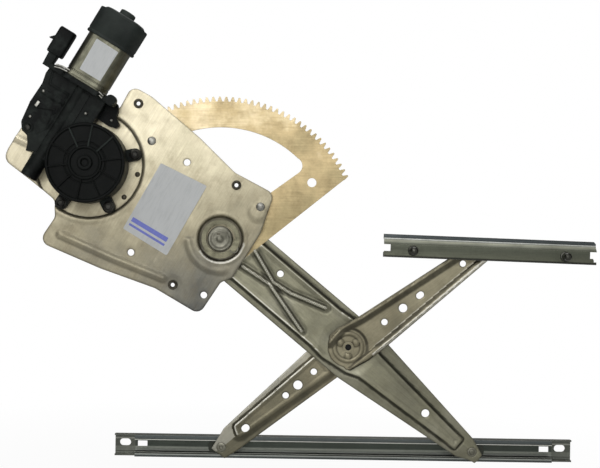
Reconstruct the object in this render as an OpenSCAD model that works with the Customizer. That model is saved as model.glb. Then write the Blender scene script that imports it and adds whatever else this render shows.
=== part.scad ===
// Power window regulator with crossed arms: a geared motor turns a toothed sector, the sector swings
// the lift arm, and the equalizer arm keeps the glass rail level while it rises and falls.
// X runs along the door, Z is up, and Y runs away from the motor side. The main pivot is the origin.

/* [Linkage] */
// Main pivot to the centre joint of the two arms
inner_len = 176.4; // [170:0.1:182]
// Centre joint to each pin of the glass rail
outer_len = 172; // [165:0.1:176]
// Angle of the lift arm below level at rest
rest_angle = 39.5; // [38:0.5:41]
// Fall of the fixed rail towards its free end
rail_fall = 1.4; // [0.6:0.1:2]

/* [Base plate] */
// Thickness of the base plate
plate_t = 2; // [1.6:0.1:2.4]
// Depth of the round recess that seats the gear housing
recess_depth = 2.5; // [2:0.1:3]
// Radius of that recess
recess_r = 57; // [55:0.5:58]
// Radius of the spring cup round the main pivot
cup_r = 23.6; // [23:0.1:26]
// Height of the pressed stiffening ribs
plate_rib_h = 1.6; // [1:0.1:2.4]
// Radius of the clearance holes in the plate
plate_hole_r = 3.5; // [3:0.1:4]
// Core radius of the threads in the clinch nuts
nut_core_r = 2.5; // [2.1:0.1:2.8]
// Radius of the clinch nut heads
nut_head_r = 5; // [4.6:0.1:6]

/* [Sector and pinion] */
// Gear module
gear_m = 2.2; // [2.2:0.01:2.2]
// Teeth that the sector would have as a full wheel
sector_teeth = 135; // [135:1:135]
// Teeth on the pinion
pinion_teeth = 9; // [9:1:9]
// Direction of the pinion seen from the main pivot
pinion_dir = 151.2; // [150:0.2:152]
// Thickness of the sector
sector_t = 3; // [2.5:0.1:3.5]
// Gap between the plate's recess and the sector
sector_gap = 1; // [0.8:0.1:1.4]
// Radius of the sector's inner rim
rim_inner_r = 117.6; // [112:0.2:124]
// Direction of the spoke on the window side
spoke_dir = 36.9; // [35:0.1:39]
// Direction of the spoke behind the plate
far_spoke_dir = 152; // [150:0.5:154]
// Radius of the sector's hub
sector_hub_r = 32; // [30:0.5:34]
// Backlash taken off each tooth flank
backlash = 0.16; // [0.1:0.01:0.25]

/* [Arms] */
// Sheet thickness of the arms
arm_t = 2; // [1.8:0.1:2.2]
// Half width of the lift arm between the main pivot and the centre joint
lift_half_w = 32; // [30:0.5:34]
// Half width of the lift arm at its glass rail end
lift_tip_r = 12; // [11:0.5:13]
// Width of the flat band along each side of the lift arm
lift_band = 6; // [5:0.5:8]
// Height of the lift arm's raised panel
crown_h = 2.5; // [2.2:0.1:2.7]
// Half width of the equalizer at the centre joint
eq_root_half_w = 20; // [18:0.5:21]
// Half width of the equalizer's window side half at its pin
eq_front_tip_r = 12; // [11:0.5:13]
// Half width of the equalizer's other half at its pin
eq_rear_tip_r = 12.5; // [11:0.5:13]
// Height of the raised panels on the equalizer
eq_crown_h = 1.5; // [1.2:0.1:1.6]
// Radius of the centre joint's boss
boss_r = 21.5; // [20:0.5:22]
// Free height between faces that slide past each other
slide_gap = 0.6; // [0.4:0.1:0.8]

/* [Pivots] */
// Radius of the main pivot's shank
pivot_r = 8; // [7:0.1:9]
// Radius of the main pivot's domed head
pivot_head_r = 13.6; // [12.5:0.1:13.8]
// Radius of the centre joint's shank
centre_pin_r = 6; // [5:0.1:7]
// Radius of the pins that carry the sliders
roller_pin_r = 3.5; // [3:0.1:4]
// Radial running clearance of every pivot
run_gap = 0.05; // [0.03:0.01:0.09]
// Wall of the sleeves that line the pivots
sleeve_wall = 2; // [1.5:0.1:2.5]

/* [Counterbalance spring] */
// Thickness of the spring strip
spring_t = 0.9; // [0.7:0.05:1]
// Turns of the spring
spring_turns = 3.4; // [3.2:0.1:3.6]
// Distance from one turn to the next
spring_pitch = 1.65; // [1.5:0.05:1.7]
// Width of the spring strip
spring_w = 4.6; // [4:0.1:4.8]

/* [Rails] */
// Length of the glass rail
glass_rail_len = 488; // [480:1:500]
// Left end of the glass rail from the main pivot
glass_rail_x = -111; // [-116:0.5:-106]
// Height of the glass rail
glass_rail_h = 23; // [22:0.2:25]
// Depth of both rails
rail_depth = 13; // [12:0.2:14]
// Sheet thickness of both rails
rail_t = 1.5; // [1.2:0.1:1.8]
// Width of the lips that hold the sliders in
rail_lip = 3.6; // [3:0.1:4]
// Left fixing slot from the rail's left end
glass_slot_in = 10.8; // [9:0.1:12]
// Right fixing slot from the rail's right end
glass_slot_end = 11.7; // [10:0.1:13]
// Length of a fixing slot
slot_len = 11.8; // [10:0.1:13]
// Half width of a fixing slot
slot_r = 3.7; // [3:0.1:4]
// Length of the fixed rail
fixed_rail_len = 221.4; // [215:0.2:225]
// Left end of the fixed rail from the main pivot
fixed_rail_start = 171.4; // [166:0.2:176]
// Height of the fixed rail
fixed_rail_h = 24; // [23:0.2:25]
// Distance between the fixed rail's studs
stud_gap = 158.5; // [150:0.5:165]
// First stud from the main pivot
stud_start = 201.7; // [198:0.1:206]
// Radius of the studs
stud_r = 4; // [3.5:0.1:4.5]
// Length of the studs in front of the rail
stud_len = 17; // [14:0.5:20]

/* [Sliders] */
// Length of a slider
slider_len = 28; // [24:0.5:32]
// Clearance between a slider and its rail
slider_gap = 0.35; // [0.3:0.01:0.5]

/* [Motor] */
// Distance between the motor shaft and the output shaft
worm_offset = 44; // [44:0.1:44]
// Lean of the motor away from upright
motor_lean = 30.7; // [28:0.1:33]
// Height of the motor shaft in front of the plate
motor_out = 16; // [16:0.1:17]
// Radius of the motor can
can_r = 24.3; // [23.5:0.1:25]
// Half thickness of the can between its flats
can_flat = 17.5; // [17:0.1:18]
// Wall of the can
can_wall = 1.5; // [1.2:0.1:1.8]
// Start of the can beyond the worm
can_start = 69; // [68:0.5:71]
// Length of the can
can_len = 75; // [72:0.5:78]
// Length of can that the end cap covers
cap_len = 26; // [22:0.5:30]
// Wall of the end cap
cap_wall = 3.2; // [2.5:0.1:3.5]

/* [Gear housing] */
// Outer radius of the gear housing
housing_r = 41.5; // [41.5:0.1:43]
// Wall of the gear housing
housing_wall = 2; // [1.6:0.1:2]
// Teeth of the worm wheel
wheel_teeth = 76; // [76:1:76]
// Module of the worm drive
worm_m = 1; // [1:0.01:1]
// Thickness of the worm wheel
wheel_t = 8; // [7:0.1:9]
// Thickness of the gear cover
cover_t = 2; // [1.6:0.1:2.4]
// Height of the ribs on the gear cover
cover_rib_h = 2; // [1.5:0.1:2.5]

/* [Hidden] */
$fn = 48;

steel = [0.50, 0.50, 0.47];
zinc = [0.71, 0.62, 0.42];
black = [0.09, 0.09, 0.09];
bright = [0.74, 0.74, 0.72];
cut = 0.5;

// Directions and joint places in the plane of the linkage
function polar(r, a) = [r * cos(a), r * sin(a)];
function turned(p, a) = [p[0] * cos(a) - p[1] * sin(a), p[0] * sin(a) + p[1] * cos(a)];
lift_dir = -rest_angle;
front_dir = rest_angle - 2 * rail_fall;
rear_dir = rest_angle;
centre_at = polar(inner_len, lift_dir);
lift_end = centre_at + polar(outer_len, lift_dir);
rear_end = centre_at - polar(outer_len, rear_dir);
front_end = centre_at + polar(inner_len, front_dir);

// Levels in depth, from the plate's front face
recess_floor = recess_depth;
sector_y = recess_depth + plate_t + sector_gap;
lift_y = sector_y + sector_t;
lift_back = lift_y + arm_t;
crown_y = lift_y - crown_h;
front_arm_y = crown_y - slide_gap - arm_t;
front_crown_y = front_arm_y - eq_crown_h;
tail_h = 1;
head_h = 1.2;
rear_crown_y = lift_back + tail_h + 1;
rear_arm_y = rear_crown_y + eq_crown_h;
rear_back = rear_arm_y + arm_t;
glass_rail_y = rear_back + 1;
fixed_rail_back = front_crown_y - slide_gap;
fixed_rail_y = fixed_rail_back - rail_depth;

// Gear sizes
sector_r = gear_m * sector_teeth / 2;
pinion_r = gear_m * pinion_teeth / 2;
centre_distance = sector_r + pinion_r;
tooth_shift = 0.4;
pinion_at = polar(centre_distance, pinion_dir);
first_tooth_dir = spoke_dir - asin(sector_hub_r / (sector_r + gear_m));
last_tooth_dir = far_spoke_dir + asin(28 / (sector_r + gear_m));

// Motor frame: the worm's middle, its shaft leaning to the right
motor_y = -motor_out;
worm_at = pinion_at + turned([-worm_offset, 0], -motor_lean);
wheel_r = worm_m * wheel_teeth / 2;
worm_r = worm_offset - wheel_r;
housing_front = motor_y - 9.5;
shaft_r = 2.5;
can_end = can_start + can_len;
cap_start = can_end - cap_len;

module at(p, y = 0) {
    translate([p[0], y, p[1]]) children();
}

// A flat sheet of thickness t whose front face lies at y
module sheet(y, t) {
    translate([0, y + t, 0]) rotate([90, 0, 0]) linear_extrude(t) children();
}

// A round bar along the depth from y0 to y1
module bar(p, y0, y1, r) {
    translate([p[0], y1, p[1]]) rotate([90, 0, 0]) cylinder(h = y1 - y0, r = r);
}

// A profile turned about an axis along the depth, drawn as radius and depth
module turned_on(p) {
    at(p) rotate([-90, 0, 0]) rotate_extrude() children();
}

module motor_frame() {
    translate([worm_at[0], motor_y, worm_at[1]]) rotate([0, motor_lean, 0]) children();
}

function unit(v) = v / norm(v);
function heading(v) = atan2(v[1], v[0]);
corner_steps = 5;

// Corner points of an outline, each given as x, z and a fillet radius
function corner(p0, p1, p2) =
    let (a = [p1[0], p1[1]], u = unit([p0[0], p0[1]] - a), v = unit([p2[0], p2[1]] - a), r = p1[2])
    r == 0 ? [a] :
    let (half = acos(u * v) / 2, c = a + unit(u + v) * r / sin(half),
        from = heading(a + u * r / tan(half) - c), to = heading(a + v * r / tan(half) - c),
        sweep = (to - from + 540) % 360 - 180)
    [for (i = [0:corner_steps]) c + polar(r, from + sweep * i / corner_steps)];
function rounded(pts) = let (n = len(pts))
    [for (i = [0:n - 1]) each corner(pts[(i + n - 1) % n], pts[i], pts[(i + 1) % n])];
function arc(r, a0, a1, n) = [for (i = [0:n]) polar(r, a0 + (a1 - a0) * i / n)];

// A bar with round ends and two different end radii, from p along direction a
module tapered_strap(p, a, len, r0, r1) {
    lean = asin((r0 - r1) / len);
    translate(p) rotate(a) {
        circle(r = r0);
        translate([len, 0]) circle(r = r1);
        polygon([polar(r0 - tuck, 90 - lean), polar(r0 - tuck, lean - 90),
            [len, 0] + polar(r1 - tuck, lean - 90), [len, 0] + polar(r1 - tuck, 90 - lean)]);
    }
}
// How far straight edges lie inside the round ends that they run into
tuck = 0.03;

module slot(len, r) {
    square([len - 2 * r, 2 * r], center = true);
    for (side = [-1, 1]) translate([side * (len / 2 - r), 0]) circle(r = r);
}

// Involute tooth geometry
pressure = 20;
function flank_angle(base, r) = let (a = acos(min(1, base / r))) tan(a) * 180 / PI - a;
function half_tooth(r0, teeth, shift, r) =
    let (base = r0 * cos(pressure), at_pitch = 90 / teeth + shift * 2 * tan(pressure) / teeth * 180 / PI)
    at_pitch + flank_angle(base, r0) - flank_angle(base, max(r, base)) - backlash / r0 * 180 / PI;
function tooth(r0, teeth, shift, root, tip, dir) =
    let (base = r0 * cos(pressure), low = max(root, base), step = (tip - low) / 3)
    concat([polar(root, dir - half_tooth(r0, teeth, shift, low))],
        [for (i = [0:3]) let (r = low + i * step) polar(r, dir - half_tooth(r0, teeth, shift, r))],
        [for (i = [3:-1:0]) let (r = low + i * step) polar(r, dir + half_tooth(r0, teeth, shift, r))],
        [polar(root, dir + half_tooth(r0, teeth, shift, low))]);

// Clinch nuts, rivets and holes of the plate
nut_at = [[-88, 140.6], [16.1, 56.4], [-49.2, -49.2]];
plate_rivet_at = [[-73.5, 101.6], [41.7, 34.1]];
small_rivet_at = [[-88.3, 66.2], [-102, 42.2]];
plate_hole_at = [[-36.2, 79.6], [-93.7, -15.8], [-16.5, -59.5]];
lug_dir = [12, -124, -64];
lug_r = 50;
screw_r = 3;
output_hole_r = 14.2;
plate_outline = [[-110, 131, 8], [-95, 159.5, 9], [-74, 148, 12], [-23, 105.6, 0], [14.4, 69.6, 20],
    [56, 48, 9], [42, 6, 16], [13, -41, 6], [1, -46, 8], [-21, -80, 9], [-68, -53, 0],
    [-126, -33, 0], [-191, -6, 9], [-174, 20, 9], [-175, 38, 9], [-197, 56, 0],
    [-229, 80, 10], [-224, 92, 9], [-200, 131, 10], [-150, 150, 20]];

rivet_r = 2.6;
small_rivet_r = 1.6;
module base_plate() {
    color(zinc) difference() {
        union() {
            sheet(0, plate_t) polygon(rounded(plate_outline));
            bar(pinion_at, 0, recess_depth + plate_t, recess_r + plate_t);
            bar([0, 0], 0, recess_depth + plate_t, cup_r + plate_t);
            // stiffening rib round the pivot and along the lower edge
            intersection() {
                turned_on([0, 0]) translate([37, 0]) circle(r = plate_rib_h + plate_t);
                translate([-60, -10, -60]) cube([64, 10 + plate_t, 56]);
            }
            for (end = [[[-60, -42], [-110, -23]], [[-110, -23], [-168, 2]]]) rib_between(end[0], end[1]);
            rib_between([-205, 98], [-218, 104]);
            // round dimple for the large rivet
            bar([39.2, 28.6], -1.2, plate_t, 11);
        }
        bar(pinion_at, -cut, recess_depth, recess_r);
        bar([0, 0], -cut, recess_depth, cup_r);
        bar([39.2, 28.6], 0.6, plate_t + cut, 9.5);
        for (p = nut_at) bar(p, -cut, plate_t + cut, nut_head_r - 1.2);
        for (p = plate_hole_at) bar(p, -cut, plate_t + cut, plate_hole_r);
        for (p = plate_rivet_at) bar(p, -cut - 2, plate_t + cut, rivet_r);
        for (p = small_rivet_at) bar(p, recess_depth - cut, recess_depth + plate_t + cut, small_rivet_r);
        for (a = lug_dir) bar(pinion_at + polar(lug_r, a), -cut, 6, screw_r);
        bar([0, 0], 0, 6, pivot_r + run_gap + sleeve_wall);
        bar(pinion_at, 0, 6, output_hole_r);
        // anchor slot for the spring's outer end
        at(polar(cup_r - 1, -45), -1) rotate([0, 45, 0]) cube([8, 8, 1.6], center = true);
    }
}

// A pressed rib with round ends from p to q
module rib_between(p, q) {
    r = plate_rib_h + plate_t;
    way = q - p;
    intersection() {
        at(p, plate_t) rotate([0, -heading(way), 0]) {
            rotate([0, 90, 0]) cylinder(h = norm(way), r = r);
            sphere(r = r);
            translate([norm(way), 0, 0]) sphere(r = r);
        }
        translate([-300, -20, -200]) cube([600, 20 + plate_t, 500]);
    }
}

module clinch_nuts() {
    color(bright) for (p = nut_at) difference() {
        union() {
            bar(p, -1.6, 0, nut_head_r);
            bar(p, 0, plate_t, nut_head_r - 1.2);
            bar(p, plate_t, plate_t + 1.5, nut_head_r - 0.4);
        }
        bar(p, -3, plate_t + 3, nut_core_r);
    }
}

module plate_rivets() {
    color(bright) {
        for (p = plate_rivet_at) {
            dome = p == plate_rivet_at[1] ? -1.2 : 0;
            bar(p, dome, dome == 0 ? plate_t : 0.6, rivet_r);
            bar(p, dome - 1.6, dome, 4.6);
            bar(p, dome == 0 ? plate_t : 0.6, dome == 0 ? plate_t + 1 : 1.6, 3.3);
        }
        for (p = small_rivet_at) {
            bar(p, recess_depth, recess_depth + plate_t, small_rivet_r);
            bar(p, recess_depth - 1, recess_depth, 2.8);
        }
    }
}

module pivot_bush() {
    r = pivot_r + run_gap;
    color(bright) turned_on([0, 0]) {
        translate([r, recess_depth]) square([sleeve_wall, plate_t]);
        translate([r, recess_depth + plate_t]) square([sleeve_wall + 3, sector_gap - 0.3]);
    }
}

// The flat spiral starts in the pin's slot and ends hooked behind the lip of the cup
spring_inner_r = 14.6;
spring_start = 120;
function spiral(r, a) = polar(r + spring_pitch * a / 360, spring_start - a);
module counterbalance_spring() {
    steps = ceil(spring_turns * 24);
    sweep = spring_turns * 360;
    end_r = spring_inner_r + spring_pitch * spring_turns;
    color(bright) sheet(recess_depth - 0.2 - spring_w, spring_w) {
        polygon(concat([for (i = [0:steps]) spiral(spring_inner_r, sweep * i / steps)],
            [for (i = [steps:-1:0]) spiral(spring_inner_r + spring_t, sweep * i / steps)]));
        // inner end bent in through the pin's slot
        rotate(spring_start) translate([-spring_inner_r + 9, -spring_t / 2])
            square([2 * spring_inner_r - 9 + spring_t / 2, spring_t]);
        // outer end folded out into the anchor slot
        rotate(spring_start - sweep) translate([end_r, -spring_t / 2]) square([cup_r - end_r - 0.3, spring_t]);
    }
}

module pivot_pin() {
    slot_w = spring_t + 0.8;
    back = lift_back + tail_h;
    color(steel) difference() {
        union() {
            turned_on([0, 0]) polygon([[0, -6.4], [5, -6.2], [9.5, -5.4], [12.6, -4.2],
                [pivot_head_r, -2.8], [pivot_head_r, -2.4], [0, -2.4]]);
            bar([0, 0], -2.6, sector_y, pivot_r);
            bar([0, 0], sector_y, lift_back, pivot_r - 1);
            bar([0, 0], lift_back, back, pivot_r + 3);
        }
        rotate([0, -spring_start, 0]) translate([0, -4, 0]) cube([2 * pivot_r + 4, 12.6, slot_w], center = true);
    }
}

module gear_tooth_ring(r0, teeth, shift, root, tip, first, count, inner) {
    last = first + (count - 1) * 360 / teeth;
    polygon(concat([for (i = [0:count - 1]) each tooth(r0, teeth, shift, root, tip, first + i * 360 / teeth)],
        arc(inner, last + 180 / teeth, first - 180 / teeth, 48)));
}

// A tooth space of the sector faces the pinion, and a tooth of the pinion faces the sector
sector_root = sector_r - (1.25 + tooth_shift) * gear_m;
sector_tip = sector_r + (1 - tooth_shift) * gear_m;
tooth_step = 360 / sector_teeth;
first_tooth = pinion_dir + tooth_step / 2 - tooth_step * floor((pinion_dir - first_tooth_dir) / tooth_step);
sector_count = floor((last_tooth_dir - first_tooth) / tooth_step);
module sector_outline() {
    last_tooth = first_tooth + (sector_count - 1) * tooth_step;
    spoke_top = asin(8.5 / rim_inner_r);
    window = concat([polar(14, 95)],
        arc(rim_inner_r, spoke_dir + spoke_top + 5, far_spoke_dir - spoke_top - 5, 40));
    difference() {
        union() {
            gear_tooth_ring(sector_r, sector_teeth, -tooth_shift, sector_root, sector_tip,
                first_tooth, sector_count, rim_inner_r - 6);
            // the plain fan under the teeth
            polygon(concat([polar(sector_hub_r, spoke_dir - 90)],
                arc(sector_root, first_tooth - 0.8, last_tooth + 0.8, 60),
                [polar(sector_hub_r, far_spoke_dir + 90)], [[0, 0]]));
            circle(r = sector_hub_r);
        }
        difference() {
            union() {
                polygon(window);
                for (end = [[spoke_dir + spoke_top, 1], [far_spoke_dir - spoke_top, -1]])
                    rotate(end[0]) translate([rim_inner_r - 9, end[1] * 9]) circle(r = 9);
                polygon([polar(40, spoke_dir + 12.3), polar(rim_inner_r - 9.5, spoke_dir + spoke_top),
                    polar(rim_inner_r - 4, 90)]);
                polygon([polar(40, far_spoke_dir - 12.3), polar(rim_inner_r - 9.5, far_spoke_dir - spoke_top),
                    polar(rim_inner_r - 4, 90)]);
            }
            circle(r = sector_hub_r);
        }
    }
}

sector_rivet_at = [for (a = [60, 150, 240, 330]) polar(23, a)];
module sector_gear() {
    color(zinc) difference() {
        sheet(sector_y, sector_t) sector_outline();
        bar([0, 0], sector_y - cut, sector_y + sector_t + cut, pivot_r - 1);
        bar([95.3, 60.6], sector_y - cut, sector_y + sector_t + cut, 4.8);
        for (p = sector_rivet_at) bar(p, sector_y - cut, sector_y + sector_t + cut, 3);
    }
}

module sector_rivets() {
    color(bright) for (p = sector_rivet_at) {
        bar(p, sector_y, lift_back, 3);
        bar(p, lift_back, lift_back + tail_h, 5);
    }
}

// Places along an arm, t from the main pivot and s to its upper side
function on_lift(t, s) = turned([t, s], lift_dir);
lower_root = inner_len + 24;
lift_tip_at = inner_len + outer_len;
// Corners of the pointed tips round their pins, in half widths, with a fillet radius
lift_tip = [[-0.73, 0.97, 0], [0.86, 0.38, 2], [0.89, -0.20, 1], [0.80, -0.59, 1], [0.18, -0.73, 1], [-0.87, -1.21, 0]];
rear_tip = [[-1.19, -1.13, 0], [0.7, -0.45, 2], [0.35, 0.87, 2], [-1, 1.06, 0]];
module lift_outline() {
    w = lift_half_w - tuck;
    rotate(lift_dir) {
        circle(r = lift_half_w);
        polygon(rounded(concat([[0, w, 0], [lower_root - 12, w, 40]],
            [for (p = lift_tip) [lift_tip_at + lift_tip_r * p[0], lift_tip_r * p[1], p[2]]],
            [[lower_root - 12, -w, 40], [0, -w, 0]])));
    }
}
module crown_outline(inset) {
    w = lift_half_w - lift_band - inset;
    start = 40 + inset;
    rotate(lift_dir) polygon(rounded([[start - 6, -w, 6], [start + 6, w, 6], [inner_len - 32, w, 10],
        [inner_len - 14, w + 2, 12], [inner_len + 16, w - 2, 14], [inner_len + 30 - inset, 17 - inset, 14],
        [lift_tip_at - 15 - inset, 5.3 - inset, 3.2], [lift_tip_at - 15 - inset, inset - 10.8, 3.2],
        [inner_len + 30 - inset, inset - 18.5, 14], [inner_len + 16, 2 - w, 14],
        [inner_len - 14, -w - 2, 12], [inner_len - 32, -w, 10]]));
}
lift_hole_at = [on_lift(72, 12.5), on_lift(284, -0.5)];

// One pressed rib on the raised panel, through several places on the arm
module crown_rib(way, w, h) {
    sheet(crown_y - h, h + arm_t / 2) for (i = [0:len(way) - 2]) {
        translate(way[i]) rotate(heading(way[i + 1] - way[i])) {
            circle(r = w);
            translate([0, -w]) square([norm(way[i + 1] - way[i]), 2 * w]);
            translate([norm(way[i + 1] - way[i]), 0]) circle(r = w);
        }
    }
}

module lift_arm() {
    color(steel) difference() {
        union() {
            sheet(lift_y, arm_t) lift_outline();
            sheet(crown_y, crown_h + arm_t) crown_outline(0);
            crown_rib([on_lift(46, -6), on_lift(70, -3), on_lift(128, -19)], 3.6, 1.2);
            crown_rib([on_lift(46, 10), on_lift(72, 1), on_lift(132, 16)], 3.4, 1.1);
        }
        sheet(crown_y + arm_t, crown_h + arm_t + cut) crown_outline(arm_t);
        bar([0, 0], lift_y - cut, lift_back + cut, pivot_r - 1);
        for (p = sector_rivet_at) bar(p, lift_y - cut, lift_back + cut, 3);
        bar(lift_hole_at[0], crown_y - 3, lift_back, 3.5);
        bar(lift_hole_at[1], crown_y - 3, lift_back, 4.2);
        bar(centre_at, crown_y - 3, lift_back, centre_pin_r + run_gap + sleeve_wall);
        bar(lift_end, lift_y - cut, lift_back + cut, roller_pin_r + 1);
    }
}

module centre_bush() {
    r = centre_pin_r + run_gap;
    color(bright) turned_on(centre_at) {
        translate([r, crown_y]) square([sleeve_wall, lift_back - crown_y]);
        translate([r, crown_y + arm_t]) square([sleeve_wall + 3, lift_back - crown_y - arm_t]);
    }
}

// Rivets that carry the sliders: head, shoulder through the arm, collar and shank
module slider_pin(p, face, back, far, side) {
    y = side > 0 ? [face, back] : [back, face];
    color(bright) {
        bar(p, min(y), max(y), roller_pin_r + 1);
        if (side > 0) {
            bar(p, face - head_h, face, 6);
            bar(p, back, glass_rail_y - 0.3, roller_pin_r + 2.2);
            bar(p, glass_rail_y - 0.3, far, roller_pin_r);
        } else {
            bar(p, face, face + head_h - 0.2, 6);
            bar(p, fixed_rail_back + 0.2, back, roller_pin_r + 1.5);
            bar(p, far, fixed_rail_back + 0.2, roller_pin_r);
        }
    }
}
module lift_slider_pin() {
    slider_pin(lift_end, lift_y, lift_back, glass_rail_y + rail_depth - rail_t - 2, 1);
}
module rear_slider_pin() {
    slider_pin(rear_end, rear_arm_y, rear_back, glass_rail_y + rail_depth - rail_t - 2, 1);
}
module front_slider_pin() {
    slider_pin(front_end, front_arm_y + arm_t, front_arm_y, fixed_rail_y + shoulder + 0.5, -1);
}

// Places along the equalizer's halves, t from the centre joint
function on_front(t, s) = centre_at + turned([t, s], front_dir);
function on_rear(t, s) = centre_at + turned([t, s], rear_dir + 180);
front_hole_at = [on_front(46.5, -1), on_front(71, -0.5), on_front(93.5, 0), on_front(149.5, 0.5)];
module equalizer_front_arm() {
    color(steel) difference() {
        union() {
            sheet(front_arm_y, arm_t) translate(centre_at) {
                circle(r = boss_r);
                rotate(front_dir) {
                    polygon(rounded(front_edge(eq_root_half_w)));
                    translate([inner_len, 0]) circle(r = eq_front_tip_r);
                }
            }
            // pressed flange above, wide bead below, both run on past the joint
            sheet(front_crown_y, eq_crown_h + arm_t / 2) translate(centre_at) rotate(front_dir)
                for (edge = front_beads(eq_root_half_w)) polygon(rounded(edge));
            // ring and three pressed lobes round the joint
            turned_on(centre_at) translate([boss_r - 6.8, front_arm_y]) circle(r = 1.2);
            for (a = [30, 150, 270]) bar(centre_at + polar(9.6, a), front_arm_y - 1, front_arm_y, 3.5);
        }
        bar(centre_at, front_crown_y - 3, front_arm_y + arm_t + cut, centre_pin_r - 1);
        bar(front_end, front_crown_y - 3, front_arm_y + arm_t + cut, roller_pin_r + 1);
        bar(front_hole_at[0], front_crown_y - 3, front_arm_y + 9, 3.4);
        bar(front_hole_at[1], front_crown_y - 3, front_arm_y + 9, 4.5);
        at(front_hole_at[2], front_arm_y + arm_t + cut) rotate([90, -front_dir, 0]) linear_extrude(9) slot(8.8, 3.4);
        bar(front_hole_at[3], front_crown_y - 3, front_arm_y + 9, 3.3);
    }
}
// Edge of the window side half, and the beads along it, from its half width w at the joint
function front_edge(w) = [[-16, 13.5, 1], [-9, w + 1.7, 4], [2, w + 3.2, 6], [14, w + 0.8, 8], [30, w - 0.5, 0],
    [inner_len, eq_front_tip_r - tuck, 0], [inner_len, tuck - eq_front_tip_r, 0], [38, -w - 2.8, 0],
    [10, -w - 4.2, 10], [-12.5, -w - 1.5, 3], [-16, -17.5, 1]];
function front_beads(w) = [
    [[-14.5, 14.4, 0.5], [-8.4, w + 0.8, 3], [2, w + 2.2, 6], [14, w, 8], [30, w - 1.2, 0],
        [inner_len - 14, eq_front_tip_r - 0.4, 1], [inner_len - 14, eq_front_tip_r - 2.6, 1],
        [30, w - 4, 0], [6, w - 0.6, 8], [-8, w - 4, 6]],
    [[-14.6, -18.3, 0.5], [-12, -w - 0.6, 2], [10, -w - 3.3, 10], [38, -w - 1.9, 0],
        [inner_len - 12, -eq_front_tip_r - 0.2, 2], [inner_len - 19, -5, 3], [21, 4 - w, 0], [-13, -18, 0]]];

rear_hole_at = [on_rear(45, -1.5), on_rear(67, -1), on_rear(84, -0.5), on_rear(139, 0)];
module equalizer_rear_arm() {
    color(steel) difference() {
        union() {
            sheet(rear_arm_y, arm_t) translate(centre_at) rotate(rear_dir + 180) {
                circle(r = boss_r - 1);
                polygon(rounded(concat([[0, 0, 0], [0, -boss_r, 0], [38.8, -eq_root_half_w - 2.9, 20]],
                    [for (p = rear_tip) [outer_len + eq_rear_tip_r * p[0], eq_rear_tip_r * p[1], p[2]]],
                    [[32.4, eq_root_half_w - 1.3, 20], [0, boss_r - 1.5, 0]])));
            }
            sheet(rear_crown_y, eq_crown_h + arm_t) rear_crown(0);
        }
        sheet(rear_crown_y + arm_t, eq_crown_h + arm_t) rear_crown(arm_t);
        bar(centre_at, rear_arm_y - 3, rear_back + cut, centre_pin_r - 1);
        bar(rear_end, rear_arm_y - 3, rear_back + cut, roller_pin_r + 1);
        bar(rear_hole_at[0], rear_arm_y - 4, rear_back + cut, 3.4);
        bar(rear_hole_at[1], rear_arm_y - 4, rear_back + cut, 4.8);
        bar(rear_hole_at[2], rear_arm_y - 4, rear_back + cut, 3.4);
        at(rear_hole_at[3], rear_back + cut) rotate([90, -rear_dir, 0]) linear_extrude(9) slot(9, 3.8);
    }
}
module rear_crown(inset) {
    translate(centre_at) rotate(rear_dir + 180)
        polygon(rounded([[boss_r + 8 + inset, -15.5 + inset, 4], [outer_len - 24 - inset, -11 + inset, 4],
            [outer_len - 18 - inset, 4 - inset, 5], [boss_r + 8 + inset, 11.5 - inset, 4]]));
}

module centre_pin() {
    color(bright) difference() {
        union() {
            bar(centre_at, front_arm_y - 1.4, front_arm_y, centre_pin_r - 0.2);
            bar(centre_at, front_arm_y, front_arm_y + arm_t, centre_pin_r - 1);
            bar(centre_at, front_arm_y + arm_t, rear_arm_y, centre_pin_r);
            bar(centre_at, lift_back + 0.3, rear_arm_y, centre_pin_r + 4);
            bar(centre_at, rear_arm_y, rear_back, centre_pin_r - 1);
            bar(centre_at, rear_back, rear_back + 0.6, centre_pin_r + 1);
        }
        bar(centre_at, front_arm_y - 2, front_arm_y + 4, 3.3);
    }
}

// Slider block with a boss towards the arm that carries it
module slider(p, y0, y1, h, boss_y0, boss_y1) {
    w = slider_len - h;
    color(black) difference() {
        union() {
            at(p, y1) rotate([90, 0, 0]) linear_extrude(y1 - y0) {
                square([w, h], center = true);
                for (side = [-1, 1]) translate([side * w / 2, 0]) circle(r = h / 2);
            }
            bar(p, boss_y0, boss_y1, roller_pin_r + 1.6);
        }
        bar(p, y0 - 5, y1 + 5, roller_pin_r + run_gap);
    }
}
glass_in = glass_rail_y + rail_t + slider_gap;
glass_out = glass_rail_y + rail_depth - rail_t - slider_gap;
glass_slider_h = glass_rail_h - 2 * (rail_t + slider_gap);
module lift_slider() {
    slider(lift_end, glass_in, glass_out, glass_slider_h, glass_rail_y + 0.1, glass_in);
}
module rear_slider() {
    slider(rear_end, glass_in, glass_out, glass_slider_h, glass_rail_y + 0.1, glass_in);
}
// The front slider fills the fixed rail's stepped channel, its pin ends inside it
module front_slider() {
    half = fixed_rail_h / 2 - rail_t - slider_gap;
    back = fixed_rail_back - rail_t - slider_gap;
    front = fixed_rail_y + rail_t + slider_gap;
    color(black) difference() {
        union() {
            at(front_end) rotate([0, rail_fall, 0]) translate([-slider_len / 2, 0, 0]) rotate([90, 0, 90])
                linear_extrude(slider_len) polygon([[back, -half], [front, -half], [front, slope_foot - 1.35],
                    [front + shoulder, half - slope_head + 0.7], [front + shoulder, half], [back, half]]);
            bar(front_end, back, fixed_rail_back - 0.2, roller_pin_r + 1.6);
        }
        bar(front_end, fixed_rail_y + shoulder, fixed_rail_back + cut, roller_pin_r + run_gap);
    }
}

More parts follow.
